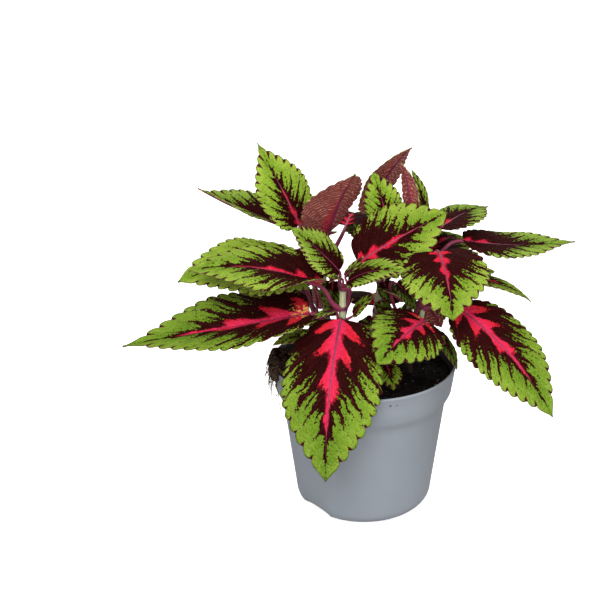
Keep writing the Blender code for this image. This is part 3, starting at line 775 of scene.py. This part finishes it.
class Leaf:
    """One leaf: where its blade starts and ends, how wide it is and how it is bent."""

    def __init__(self, number, shoot, node, base, tip, width, lobes=8, arch=0.08, roll=0, fold=12,
                 sag=0.2, wave=0.03, back=0.07, point=0.5, cup=0):
        self.number = number
        self.shoot = shoot
        self.node = node * MM
        self.base = millimetres(*base)
        self.tip = millimetres(*tip)
        self.half = width * MM / 2
        self.lobes = lobes
        self.arch = arch
        self.fold = math.radians(fold)
        self.sag = sag
        self.wave = wave
        self.back = back
        self.point = point
        self.cup = math.radians(cup)
        self.stalk = min(1.0, 0.45 + 0.55 * 2 * self.half / FULL_STALK_WIDTH)
        chord = self.tip - self.base
        self.length = chord.length
        self.forward = chord.normalized()
        level_up = (Vector((0, 0, 1)) - self.forward * self.forward.z).normalized()
        self.up = Matrix.Rotation(math.radians(roll), 3, self.forward) @ level_up
        self.side = self.forward.cross(self.up)

    def midrib(self, share):
        """The point of the arched midrib at a share of its length."""
        bow = 4 * share * (1 - share) * self.arch * self.length
        return self.base + self.forward * self.length * share + self.up * bow

    def place(self, share, across, rise=0.0):
        """The point in space of a point of the flat blade, raised by rise off its surface."""
        step = 0.002
        run = (self.midrib(share + step) - self.midrib(share - step)).normalized()
        up = self.side.cross(run)
        reach = abs(across) / self.half
        ripple = math.sin(12 * share + (1.7 if across > 0 else 0.0))
        fold = self.fold + self.cup * max(0.0, 1 - max(0.0, share) / CUP_END) ** 2
        lift = abs(across) * math.sin(fold)
        lift += (self.wave * ripple - self.sag) * self.half * reach * reach + rise
        return self.midrib(share) + self.side * across * math.cos(fold) + up * lift

    def margin(self, course):
        """Share of the length and half-width of the plain outline, from 0, the base, to 1."""
        share = min(1.0, max(0.0, course ** 1.25))
        behind = self.back * math.sin(math.pi * min(1.0, course / 0.42))
        width = math.sin(math.pi * share ** 0.78) ** (0.52 + self.point * share)
        return share - behind, self.half * width

    def lobe_at(self, course):
        """Place along the lobes: whole numbers are the notches between them."""
        if course < PLAIN_MARGIN:
            return course / PLAIN_MARGIN
        return 1 + (course - PLAIN_MARGIN) / (LAST_NOTCH - PLAIN_MARGIN) * (self.lobes - 1)

    def scallop(self, course):
        """How far the edge stands out from the plain outline."""
        depth = LOBE_DEPTH * self.half
        if course > LAST_NOTCH:
            return -0.5 * depth * max(0.0, 1 - (course - LAST_NOTCH) / 0.02)
        lobe = self.lobe_at(course)
        part = lobe - math.floor(lobe)
        bulge = depth * (math.sin(math.pi * part ** 1.3) ** 0.7 - 0.5)
        if lobe < 1:
            bulge *= 0.35 * min(1.0, 2 * part)
        return bulge

    def flat_spot(self, course, reach):
        """Share and across of the flat blade; reach goes from -1 over the midrib to 1."""
        foot = course ** VEIN_SWEEP
        share, across = self.margin(course)
        step = 0.01
        share_on, across_on = self.margin(min(1.0, course + step))
        share_by, across_by = self.margin(max(0.0, course - step))
        run = Vector(((share_on - share_by) * self.length, across_on - across_by))
        run.normalize()
        edge = abs(reach)
        out = self.scallop(course) * edge ** 5
        if course > LAST_NOTCH:
            across *= 1 + 0.15 * math.sin(math.pi * (course - LAST_NOTCH) / (1 - LAST_NOTCH))
        if course == 0.0:
            across = PETIOLE_TIP_RADIUS * self.stalk
            out = 0.0
        share = foot + (share - foot) * edge * (0.8 + 0.2 * edge) - run.y * out / self.length
        across = across * edge + run.x * out
        return share, math.copysign(across, reach)

    def vein_phase(self, course, reach):
        """Place among the main side veins: whole numbers are the veins."""
        return MAIN_VEINS * course ** 2 + (0.3 if reach > 0 else 0.12)

    def rung_phase(self, course, reach):
        """Place among the fine cross veins that join one side vein to the next."""
        share, across = self.flat_spot(course, reach)
        along = share * self.length * math.sin(RUNG_SLANT) + abs(across) * math.cos(RUNG_SLANT)
        return along / RUNG_PITCH + 0.5 * math.floor(self.vein_phase(course, reach))

    def quilt(self, course, reach):
        """The height of the blade's pillows between its sunken veins."""
        size = min(1.0, self.half / (26 * MM))
        edge = abs(reach)
        phase = self.vein_phase(course, reach)
        pillow = abs(math.sin(math.pi * phase)) ** 0.6
        rung = abs(math.sin(math.pi * self.rung_phase(course, reach))) ** 0.7
        lobe_rib = abs(math.sin(math.pi * self.lobe_at(min(course, LAST_NOTCH)))) ** 0.7
        inside = min(1.0, edge * 4) * (1 - edge ** 6)
        groove = -0.9 * math.exp(-(edge * self.half / (0.9 * MM)) ** 2)
        near_edge = edge ** 3 * (1 - edge ** 8)
        height = inside * (0.75 * pillow + 0.3 * rung * pillow) + near_edge * 0.5 * lobe_rib + groove
        return QUILT_DEPTH * size * height

    def courses(self, lobe_rows):
        """The rows of the mesh, from the base to the tip, with one at each notch."""
        first = [PLAIN_MARGIN * (step / 9) ** 1.6 for step in range(9)]
        steps = lobe_rows * (self.lobes - 1)
        middle = [PLAIN_MARGIN + (LAST_NOTCH - PLAIN_MARGIN) * step / steps for step in range(steps)]
        last = [LAST_NOTCH + (1 - LAST_NOTCH) * step / 8 for step in range(9)]
        return first + middle + last


def blade_sheet(name, leaf, lobe_rows, columns, finishes):
    """The blade: a grid laid over the leaf's outline, quilted, and given its thickness."""
    courses = leaf.courses(lobe_rows)
    rows = len(courses) - 1
    blade, spots = grid_sheet(name, 2 * columns, rows)
    growth, edges, flats, rungs = [], [], [], []
    for vertex, (column, row) in zip(blade.data.vertices, spots):
        course = courses[row]
        reach = column / columns - 1
        share, across = leaf.flat_spot(course, reach)
        vertex.co = leaf.place(share, across, leaf.quilt(course, reach))
        margin = abs(leaf.flat_spot(course, 1.0)[1])
        lobe = leaf.lobe_at(course)
        away = abs(lobe - round(lobe)) if 0.6 < lobe < leaf.lobes + 0.4 else 0.5
        lobe_width = leaf.length * (LAST_NOTCH - PLAIN_MARGIN) / leaf.lobes
        to_edge = max(0.0, margin - abs(across))
        growth.append((course, reach, leaf.vein_phase(course, reach)))
        edges.append((to_edge / MM, math.hypot(away * lobe_width, to_edge * 0.7) / MM, abs(across) / MM))
        flats.append((share * leaf.length / MM, across / MM, leaf.number * 37.0))
        rungs.append((leaf.rung_phase(course, reach), abs(across) / leaf.half, share))
    add_vectors(blade.data, "growth", growth)
    add_vectors(blade.data, "edge", edges)
    add_vectors(blade.data, "flat", flats)
    add_vectors(blade.data, "rung", rungs)
    weld(blade, 0.03 * MM)
    for finish in finishes:
        blade.data.materials.append(finish)
    wall = blade.modifiers.new("thickness", "SOLIDIFY")
    wall.thickness = BLADE_THICKNESS
    wall.offset = 0
    wall.use_quality_normals = True
    wall.material_offset = 1
    wall.material_offset_rim = 2
    apply_modifiers(blade)
    bpy.ops.object.shade_smooth()
    return blade


def bend_through(start, guide_out, guide_in, end, t):
    """A point of the cubic curve that leaves start and enters end by the two guides."""
    near = start * (1 - t) ** 3 + guide_out * 3 * t * (1 - t) ** 2
    return near + guide_in * 3 * t * t * (1 - t) + end * t ** 3


def petiole_rod(name, leaf, finish):
    """The petiole, from inside the stem to the blade, and on under it as the midrib."""
    shoot = leaf.shoot
    centre, axis = shoot.centre(leaf.node)
    out = leaf.base - centre
    out -= axis * out.dot(axis)
    out.normalize()
    root = centre + out * shoot.radius(leaf.node)
    blade_run = (leaf.midrib(0.01) - leaf.midrib(0.0)).normalized()
    reach = (leaf.base - root).length
    guide_out = root + (out + axis * 0.6).normalized() * reach * 0.45
    guide_in = leaf.base - blade_run * reach * 0.35
    tip_radius = PETIOLE_TIP_RADIUS * leaf.stalk
    root_radius = PETIOLE_ROOT_RADIUS * leaf.stalk
    spots = [centre + out * shoot.radius(leaf.node) * 0.3]
    widths = [root_radius * 1.25]
    for step in range(13):
        t = step / 12
        spot = bend_through(root, guide_out, guide_in, leaf.base, t)
        width = root_radius + (tip_radius - root_radius) * t + root_radius * 0.3 * math.exp(-9 * t)
        spots.append(spot - leaf.up * tip_radius * 0.6 * t ** 3)
        widths.append(width)
    for step in range(1, 15):
        share = 0.94 * step / 14
        width = tip_radius * (1 - share) ** 0.8 + 0.18 * MM
        spots.append(leaf.place(share, 0.0) - leaf.up * width * 0.75)
        widths.append(width)
    return rod(name, spots, widths, 2, finish)


def most(first, second):
    """The larger of a reading and a second reading or number."""
    return first.math("MAXIMUM", second)


def off_middle(reading):
    """How far a reading is from halfway between two whole numbers; 0.5 at a whole number."""
    return abs(reading.math("FRACT") - 0.5)


def cell_walls(place, scale):
    """The distance to the nearest wall of a net of random cells."""
    made = put(place.id_data, "ShaderNodeTexVoronoi", {"Vector": place, "Scale": scale},
               feature="DISTANCE_TO_EDGE")
    return Reading(made.outputs["Distance"])


ZONE_SHARES = ("Maroon core", "Maroon fingers", "Pink core", "Pink feather", "Pink end", "Pale flecks")
ZONE_COLOURS = ("Green", "Edge green", "Pink", "Midrib")


def zone_group():
    """The upper side's colour: lime edge, maroon middle with fingers along the veins, pink centre."""
    group = bpy.data.node_groups.new("leaf_zones", "ShaderNodeTree")
    for name in ZONE_SHARES:
        group.interface.new_socket(name=name, in_out="INPUT", socket_type="NodeSocketFloat")
    for name in ZONE_COLOURS:
        group.interface.new_socket(name=name, in_out="INPUT", socket_type="NodeSocketColor")
    group.interface.new_socket(name="Color", in_out="OUTPUT", socket_type="NodeSocketColor")
    group.interface.new_socket(name="Height", in_out="OUTPUT", socket_type="NodeSocketFloat")
    given = {socket.name: Reading(socket) for socket in group.nodes.new("NodeGroupInput").outputs}
    results = group.nodes.new("NodeGroupOutput").inputs

    course, reach, phase = parts(laid_on(group, "growth"))
    to_edge, to_notch, to_midrib = parts(laid_on(group, "edge"))
    flat = laid_on(group, "flat")
    leaf_seed = parts(flat)[2]
    along_blade = parts(laid_on(group, "rung"))[2]
    away = abs(reach)
    side = reach.math("SIGN")
    veined = phase + (speckle(flat, 0.07, 2) - 0.5) * 0.8
    on_vein = off_middle(veined) * 2.0

    side_seed = leaf_seed + side * 11.0
    streak_place = vector_of(veined * 4.6, away * 2.2, side_seed)
    streak = speckle(streak_place, 1.0, 2, 0.6) - 0.5
    tooth = speckle(vector_of(veined * 15.0, away * 9.0, side_seed), 1.0, 2, 0.6) - 0.5
    grit = speckle(flat, 0.62, 4, 0.7) - 0.5

    core = (1.0 - course ** 1.5) * given["Maroon core"]
    tips = ((1.0 - course ** 3.2) * 1.08 + 0.14) * given["Maroon fingers"]
    room = most(tips - core, 0.0)
    between = (off_middle(veined * 2.0) * 2.0) ** 1.6 * 0.45
    finger = room * most(on_vein ** 1.9, between)
    ragged = streak * 1.1 + tooth * 0.45 + grit * 1.3
    inside = core + finger + ragged * (room + 0.16) - away
    maroon = (inside * 26.0 + 0.5).clamped()
    from_dot, chance = cells(flat, 0.62)
    round_dot = from_dot.ramp(0.38, 0.26)
    dots = (chance < inside.ramp(-0.40, 0.0) * 0.55) * round_dot
    flecks = (chance > 1.0 - inside.ramp(0.16, 0.0) * 0.22) * round_dot
    maroon = (most(maroon, dots) - flecks).clamped()

    barb = off_middle((veined + side) * 0.56)
    feather = (1.0 - course).clamped() ** 0.8 * barb.ramp(0.12, 0.46) * given["Pink feather"]
    pink_core = given["Pink core"] * (1.15 - course * 0.65)
    pink_ragged = streak * 0.8 + grit * 1.2
    pink_border = pink_core + feather + pink_ragged * (given["Pink core"] + feather * 0.9)
    pink_inside = pink_border * (given["Pink end"] - course).ramp(0.0, 0.09) - away
    pink = (pink_inside * 15.0 + 0.4).clamped() * given["Pink core"].ramp(0.0, 0.02)

    shade = speckle(flat, 0.11, 3)
    net = cell_walls(flat, 0.42)
    vein_line = on_vein.ramp(0.90, 1.0) * 0.35
    green = away.ramp(0.45, 1.05).mix(given["Green"], given["Edge green"])
    green = (net.ramp(0.12, 0.0) * 0.20).mix(green, (0.26, 0.36, 0.09, 1))
    green = (shade.ramp(0.42, 0.75) * 0.45).mix(green, (0.075, 0.15, 0.010, 1))
    green = vein_line.mix(green, (0.28, 0.36, 0.10, 1))
    dark = shade.mix((0.009, 0.0010, 0.0008, 1), (0.028, 0.0030, 0.0026, 1))
    dark = vein_line.mix(dark, (0.09, 0.009, 0.022, 1))
    glow = away.ramp(0.03, 0.34).mix(given["Pink"], (0.47, 0.012, 0.022, 1))
    glow = (pink_inside.ramp(0.06, 0.0) * 0.6).mix(glow, (0.26, 0.006, 0.014, 1))
    vivid = speckle(streak_place, 2.2, 2).ramp(0.5, 0.8)
    glow = (vivid * 0.35).mix(glow, (0.80, 0.075, 0.120, 1))
    pale = speckle(flat, 0.40, 2).ramp(0.57, 0.60) * along_blade.ramp(0.12, 0.05)
    pale = pale * away.ramp(0.4, 0.2) * given["Pale flecks"]
    rib = to_midrib.ramp(0.55, 0.2) * course.ramp(0.85, 0.45)
    notch_mark = (to_notch + tooth * 1.2).ramp(0.95, 0.65)
    rim_line = to_edge.ramp(0.50, 0.15) * 0.4

    colour = pink.mix(maroon.mix(green, dark), glow)
    colour = pale.mix(colour, (0.62, 0.40, 0.09, 1))
    colour = (rib * 0.8).mix(colour, given["Midrib"])
    colour = most(rim_line, notch_mark).mix(colour, (0.045, 0.005, 0.010, 1))
    feed(results["Color"], colour)
    height = net.ramp(0.0, 0.35) * 0.55 + on_vein.ramp(1.0, 0.78) * 0.35
    feed(results["Height"], height + speckle(flat, 2.6, 2) * 0.18)
    return group


ZONES = zone_group()
AGES = {
    "old": (0.96, 1.05, 0.15, 0.55, 0.94, 0.0, (0.096, 0.176, 0.009, 1), (0.160, 0.245, 0.020, 1),
            (0.55, 0.018, 0.066, 1), (0.42, 0.035, 0.16, 1)),
    "grown": (0.96, 1.04, 0.085, 0.26, 0.93, 0.0, (0.124, 0.206, 0.012, 1), (0.220, 0.305, 0.034, 1),
              (0.50, 0.010, 0.036, 1), (0.36, 0.010, 0.055, 1)),
    "dark": (1.04, 1.06, 0.060, 0.20, 0.74, 0.0, (0.120, 0.200, 0.018, 1), (0.200, 0.290, 0.040, 1),
             (0.44, 0.010, 0.036, 1), (0.30, 0.010, 0.055, 1)),
    "light": (0.52, 0.80, 0.07, 0.12, 0.84, 0.0, (0.150, 0.250, 0.014, 1), (0.250, 0.345, 0.036, 1),
              (0.48, 0.010, 0.034, 1), (0.32, 0.010, 0.050, 1)),
    "young": (0.62, 0.90, 0.0, 0.0, 0.5, 0.0, (0.140, 0.225, 0.018, 1), (0.250, 0.340, 0.048, 1),
              (0.45, 0.010, 0.035, 1), (0.25, 0.045, 0.13, 1)),
    # The shaded colours are darker greens, pinks and midrib: painted shade for the small leaves deep
    # inside the plant.
    "shaded": (0.72, 0.95, 0.04, 0.14, 0.82, 0.0, (0.055, 0.115, 0.007, 1), (0.100, 0.165, 0.014, 1),
               (0.34, 0.006, 0.018, 1), (0.20, 0.010, 0.040, 1)),
    "flecked": (0.96, 1.05, 0.15, 0.55, 0.94, 1.0, (0.096, 0.176, 0.009, 1), (0.160, 0.245, 0.020, 1),
                (0.55, 0.018, 0.066, 1), (0.42, 0.035, 0.16, 1)),
}


def upper_finish(age):
    """The upper side of a leaf of this age: soft satin, quilted."""
    material, shader = new_finish("leaf_upper_" + age)
    values = dict(zip(ZONE_SHARES + ZONE_COLOURS, AGES[age]))
    zones = put(shader.id_data, "ShaderNodeGroup", values, node_tree=ZONES).outputs
    rough = 0.48 + speckle(object_place(shader), 300) * 0.2
    dress(shader, zones["Color"], rough, 0.02)
    bumped(shader, zones["Height"], 0.0008)
    return material


def under_finish():
    """The back of a leaf: dusty maroon, with raised veins in a ladder that are paler, their pale colour
    partly a painted glint along the ridges.
    """
    material, shader = new_finish("leaf_under")
    tree = shader.id_data
    course, reach, phase = parts(laid_on(tree, "growth"))
    flat = laid_on(tree, "flat")
    vein = off_middle(phase).ramp(0.44, 0.5)
    rung_phase = parts(laid_on(tree, "rung"))[0] + speckle(flat, 0.16, 3) * 2.4
    rung = off_middle(rung_phase).ramp(0.33, 0.46) * speckle(flat, 0.35, 2).ramp(0.25, 0.6)
    fine_net = cell_walls(flat, 0.6).ramp(0.09, 0.0)
    colour = speckle(flat, 0.15, 3).mix((0.22, 0.028, 0.028, 1), (0.38, 0.074, 0.060, 1))
    # The pale rungs are partly the veins' own paler colour and partly a painted glint on their raised
    # ridges.
    colour = (rung * 0.85).mix(colour, (0.86, 0.50, 0.38, 1))
    colour = (fine_net * 0.20).mix(colour, (0.36, 0.14, 0.11, 1))
    colour = (vein * 0.6).mix(colour, (0.34, 0.08, 0.08, 1))
    blush = abs(reach).ramp(0.32, 0.04) * course.ramp(0.95, 0.6)
    colour = (blush * 0.85).mix(colour, (0.46, 0.010, 0.034, 1))
    dress(shader, colour, 0.5, 0.3)
    bumped(shader, most(most(vein, rung * 0.7), fine_net * 0.4), 0.0007)
    return material


def edge_finish():
    """The leaf's thin edge: dark purple-brown, with yellow-green stretches."""
    material, shader = new_finish("leaf_edge")
    patches = speckle(object_place(shader), 240, 2).ramp(0.4, 0.65)
    dress(shader, patches.mix((0.050, 0.006, 0.010, 1), (0.30, 0.27, 0.07, 1)), 0.5)
    return material


def petiole_finish():
    """Petioles: wine-purple, darker and lighter in patches."""
    material, shader = new_finish("petiole_skin")
    place = object_place(shader)
    colour = speckle(place, 130, 4).mix((0.085, 0.007, 0.022, 1), (0.25, 0.027, 0.075, 1))
    dress(shader, colour, 0.45, 0.3)
    bumped(shader, speckle(place, 900, 2), 0.00015)
    return material


UPPER = {age: upper_finish(age) for age in AGES}
UNDER = under_finish()
EDGE = edge_finish()
PETIOLE = petiole_finish()
leaf_count = 0


def grow(name, key, age, fineness, *form, **bends):
    """One finished leaf on its shoot, as one object: blade, petiole and midrib."""
    global leaf_count
    leaf_count += 1
    leaf = Leaf(leaf_count, SHOOTS[key], *form, **bends)
    lobe_rows, columns = fineness
    blade = blade_sheet(name, leaf, lobe_rows, columns, (UPPER[age], UNDER, EDGE))
    stalk = petiole_rod(name + "_stalk", leaf, PETIOLE)
    return joined(name, [blade, stalk])


def add_leaf(key, number, age, *form, fineness=(8, 14), **bends):
    """One leaf of the plant, in the place of its solid."""
    piece = grow(f"{key}_leaf_{number}", key, age, fineness, *form, **bends)
    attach(piece, "root")
    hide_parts(f"leaf_{key}_{number:02d}")


BIG = (10, 20)

# Front shoot's leaves: the big hanging one in front of the pot, the long one to the left, and
# the young ones round the bud.

add_leaf("front", 1, "light", 108, (-24, -18, 124), (-57, -30, 123), 22, lobes=9)
add_leaf("front", 2, "grown", 98, (-22, -24, 117), (-47, -34, 119), 18, lobes=8)
add_leaf("front", 3, "flecked", 124, (-34, -28, 144), (-148, -40, 127), 64, lobes=14, arch=0, roll=-8,
         fold=12, sag=0.05, point=0.9, fineness=BIG)
add_leaf("front", 4, "old", 137, (-15, -30, 140), (-24, -77, 54), 60, lobes=13, arch=0.15, fold=4,
         back=0.03, fineness=BIG)
add_leaf("front", 5, "grown", 145, (-28, -27, 162), (-106.5, -30, 172), 46, lobes=13, arch=0.1, roll=-14,
         cup=50, fineness=BIG)
add_leaf("front", 6, "grown", 145, (-4, -6, 169), (51, 4, 198), 46, lobes=11, arch=0.05, roll=50,
         back=0.03, fineness=BIG)
add_leaf("front", 7, "young", 158, (-16, -18, 168), (-45, -20, 196), 30, lobes=14, arch=0.04, roll=-30,
         fineness=BIG)
add_leaf("front", 8, "young", 158, (-10, -25, 164), (25, -35, 174), 24, lobes=13, arch=0.12, roll=20,
         fineness=BIG)
add_leaf("front", 9, "light", 137, (-7, -21, 140), (6, -24, 154), 11, lobes=6, roll=30)

# Left shoot's leaves: two stand up at its tip, one with its back out, and two broad ones reach
# to the left below them.  One hangs small in the shade, and the last four grow to the back.

add_leaf("left", 1, "light", 140, (-38, 6, 158), (-116, -12, 158), 66, lobes=13, arch=0.1, roll=-12,
         fineness=BIG)
add_leaf("left", 2, "dark", 158, (-50, 44, 176), (-108, 42, 202), 38, lobes=11, arch=-0.03, roll=-8,
         fold=32, point=1.3)
add_leaf("left", 3, "light", 172, (-41.5, 22, 184), (-68, 35, 234), 34, lobes=12, arch=0.05, roll=-45,
         point=1, fineness=BIG)
add_leaf("left", 4, "grown", 172, (-24, 22, 177), (-6, -18, 229), 47, lobes=12, arch=0.04, roll=12,
         fold=26, point=1, fineness=BIG)
add_leaf("left", 5, "shaded", 140, (-20, 2, 153), (-21, -5, 134), 16, lobes=7)
add_leaf("left", 6, "grown", 104, (-40, 28, 124), (-78, 66, 112), 50, lobes=10, arch=0.12)
add_leaf("left", 7, "grown", 122, (-44, 24, 146), (-98, 52, 138), 48, lobes=11, arch=0.1)
add_leaf("left", 8, "grown", 140, (-34, 40, 156), (-56, 90, 134), 44, lobes=10, arch=0.1)
add_leaf("left", 9, "grown", 158, (-12, 44, 176), (-4, 88, 168), 42, lobes=10, arch=0.1)

# Middle shoot's leaves: three stand up near its tip, two small ones hang or stand in its shade,
# and four grow away to the back.

add_leaf("middle", 1, "grown", 177, (5, 43, 186), (29, 19, 235), 33, lobes=12, fold=15, fineness=BIG)
add_leaf("middle", 2, "light", 177, (16, 14, 186), (5, 15, 221), 24, lobes=9, arch=0.04, roll=-80)
add_leaf("middle", 3, "shaded", 145, (12, 6, 151), (16, 2, 138), 16, lobes=7)
add_leaf("middle", 4, "shaded", 145, (2, 30, 166), (-7, 30, 182), 12, lobes=6, roll=-60)
add_leaf("middle", 5, "grown", 106, (8, 36, 122), (6, 90, 103), 52, lobes=11, arch=0.12)
add_leaf("middle", 6, "grown", 126, (18, 42, 144), (42, 92, 132), 50, lobes=11, arch=0.1)
add_leaf("middle", 7, "grown", 145, (12, 44, 164), (8, 96, 158), 46, lobes=11, arch=0.1)
add_leaf("middle", 8, "grown", 163, (28, 44, 174), (52, 84, 162), 40, lobes=10, arch=0.1)
add_leaf("middle", 9, "young", 177, (38, 22, 188), (29, 20, 221), 11, lobes=8, roll=-60)

# Right shoot's leaves: three broad ones reach out to the right and the front, and a young one
# stands up at the tip.  Two small ones sit below them, and the last three grow to the back.

add_leaf("right", 1, "dark", 157, (63, 15, 176), (134, 15, 175), 40, lobes=13, arch=-0.04, roll=6,
         point=0.9, fineness=BIG)
add_leaf("right", 2, "grown", 157, (45, -16, 179), (52, -49, 148), 53, lobes=12, arch=0.18, roll=6,
         fold=6, back=0.12, fineness=BIG)
add_leaf("right", 3, "dark", 163, (47, 14, 184), (82, 50, 187), 35, lobes=10, arch=0.06, point=1.2)
add_leaf("right", 4, "young", 169, (29, 14, 190), (22, 14, 227), 20, lobes=8, roll=30)
add_leaf("right", 5, "grown", 142, (62, 0, 157), (106, 0, 140), 22, lobes=9)
add_leaf("right", 6, "shaded", 124, (20, -4, 154), (32, -8, 137), 22, lobes=8)
add_leaf("right", 7, "grown", 106, (44, 16, 128), (94, 34, 104), 50, lobes=11, arch=0.12)
add_leaf("right", 8, "grown", 124, (50, 20, 146), (82, 66, 136), 46, lobes=11, arch=0.1)
add_leaf("right", 9, "grown", 142, (40, 32, 160), (72, 78, 155), 44, lobes=11, arch=0.1)

# Low shoot's leaves: the big hanging one to the right, and the one over the soil.

add_leaf("low", 1, "old", 142, (58, -20, 144), (114, -58, 88), 49, lobes=14, arch=0.1, fold=8,
         roll=18, back=0.03, fineness=BIG)
add_leaf("low", 2, "flecked", 128, (37, -25, 137), (7, -60, 124), 45, lobes=10, arch=0.12, roll=-22,
         fold=8, fineness=BIG)
add_leaf("low", 3, "light", 100, (14, -24, 106), (18, -36, 95), 16, lobes=7)
add_leaf("low", 4, "shaded", 114, (45, -18, 126), (58, -25, 104), 14, lobes=7)
add_leaf("low", 5, "shaded", 128, (43, -2, 147), (51, -6, 130), 16, lobes=7)


# Buds: tiny young leaves, in pairs at the tips of the shoots and one lower on the front shoot.
# They are grown as one piece with the stem.

BUD_LEAVES = {
    "front": [((160, (-12, -22, 166), (-1, -20, 178), 5), {"roll": 60}),
              ((160, (-14, -27, 166), (-22, -34, 166), 6), {"arch": 0.2}),
              ((137, (-19, -29, 146), (-33, -35, 142), 8), {})],
    "left": [((173, (-30, 10, 180), (-34, 4, 185), 7), {"roll": 20}),
             ((173, (-24, 13, 180), (-17, 8, 184), 7), {"roll": -20})],
    "middle": [((179, (18, 28, 186), (20, 35, 190), 7), {}),
               ((179, (11, 19, 186), (4, 20, 191), 6), {})],
    "right": [((170, (38, 3, 176), (44, -1, 182), 7), {}),
              ((170, (33, 2, 178), (30, -4, 184), 6), {})],
    "low": [((143, (35, -16, 148), (29, -22, 152), 6), {}),
            ((143, (39, -12, 149), (44, -7, 153), 6), {})],
}

for key, stem in stems.items():
    grown = [stem]
    for index, (form, bends) in enumerate(BUD_LEAVES[key]):
        grown.append(grow(f"{key}_bud_leaf_{index}", key, "young", (6, 8), *form, lobes=5, **bends))
    shoot = joined(f"{key}_shoot", grown)
    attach(shoot, "root")
    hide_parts(f"stem_{key}")


# Inner leaves: small ones on thin stalks, which fill the middle of the plant between the
# main stems.  They grow in its shade and hang or stand at all angles, one with its back out.

INNER_LEAVES = [("right", 128, (38, 8, 139), (50, 5, 120), 22, {"roll": -100, "lobes": 8}),
                ("front", 119, (-25, -16, 134), (-58, -26, 134), 20, {"lobes": 9}),
                ("left", 122, (-30, 4, 134), (-33, 2, 150), 12, {"lobes": 6}),
                ("right", 138, (23, 0, 141), (10, -8, 151), 13, {"lobes": 7}),
                ("right", 120, (24, 5, 126), (32, 8, 137), 12, {"lobes": 6}),
                ("middle", 126, (5, -5, 131), (-3, -8, 122), 12, {"lobes": 6}),
                ("left", 130, (-22, 10, 137), (-16, 8, 149), 12, {"lobes": 6}),
                ("front", 127, (-13, -11, 134), (-7, -12, 147), 10, {"lobes": 6}),
                ("left", 118, (-42, 20, 140), (-54, 18, 144), 8, {"lobes": 5}),
                ("front", 112, (-4, -10, 129), (10, -12, 125), 14, {"lobes": 6}),
                ("left", 126, (-18, -5, 136), (-29, -8, 151), 17, {"lobes": 7, "roll": -40}),
                ("middle", 118, (16, 0, 130), (6, -4, 141), 13, {"lobes": 6, "roll": -60}),
                ("left", 112, (-41, -4, 130), (-57, 0, 133), 13, {"lobes": 6, "roll": -30})]

for index, (key, node, base, tip, width, bends) in enumerate(INNER_LEAVES):
    # Inner leaves off shoots other than the front one get the darker shaded colours: painted shade
    # inside the plant.
    age = "light" if key == "front" else "shaded"
    inner_leaf = grow(f"inner_leaf_{index + 1}", key, age, (6, 9), node, base, tip, width, **bends)
    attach(inner_leaf, "root")


# Studio: a plain white floor that runs out past the view, a wide soft light from above and in
# front, and weaker ones at the sides.  The floor throws little light up into the leaves.

FLOOR_SIZE = 9.0
LIGHTS = [("key_light", (-0.25, -1.0, 1.35), 0.9, 25.0), ("side_light", (1.0, -0.5, 0.9), 0.8, 6.0),
          ("front_light", (0.0, -1.7, 0.55), 1.2, 17.0),
          ("back_light", (0.1, 1.0, 1.1), 0.9, 8.0)]
LIT_POINT = Vector((0, 0, 0.13))


def floor_finish():
    """White to the camera, duller to the light that it throws back."""
    material, shader = new_finish("studio_floor")
    seen = Reading(put(shader.id_data, "ShaderNodeLightPath").outputs["Is Camera Ray"])
    white = speckle(object_place(shader), 3).mix((0.90, 0.90, 0.90, 1), (0.93, 0.93, 0.93, 1))
    dress(shader, seen.mix((0.48, 0.48, 0.48, 1), white), 0.9, 0.0)
    feed(shader.inputs["Emission Color"], seen.mix((0, 0, 0, 1), (0.62, 0.62, 0.62, 1)))
    shader.inputs["Emission Strength"].default_value = 1.0
    return material


deselect()
bpy.ops.mesh.primitive_plane_add(size=FLOOR_SIZE, location=(0, 0, 0))
ground = bpy.context.object
ground.name = "studio_floor"
ground.data.materials.append(floor_finish())

for name, place, size, power in LIGHTS:
    aim = (LIT_POINT - Vector(place)).to_track_quat("-Z", "Y").to_euler()
    bpy.ops.object.light_add(type="AREA", location=place, rotation=aim)
    lamp = bpy.context.object
    lamp.name = name
    lamp.data.size = size
    lamp.data.energy = power

world = bpy.data.worlds.new("studio")
world.use_nodes = True
world.node_tree.nodes["Background"].inputs["Color"].default_value = (1, 1, 1, 1)
world.node_tree.nodes["Background"].inputs["Strength"].default_value = 0.42
bpy.context.scene.world = world
bpy.context.scene.view_settings.view_transform = "Standard"
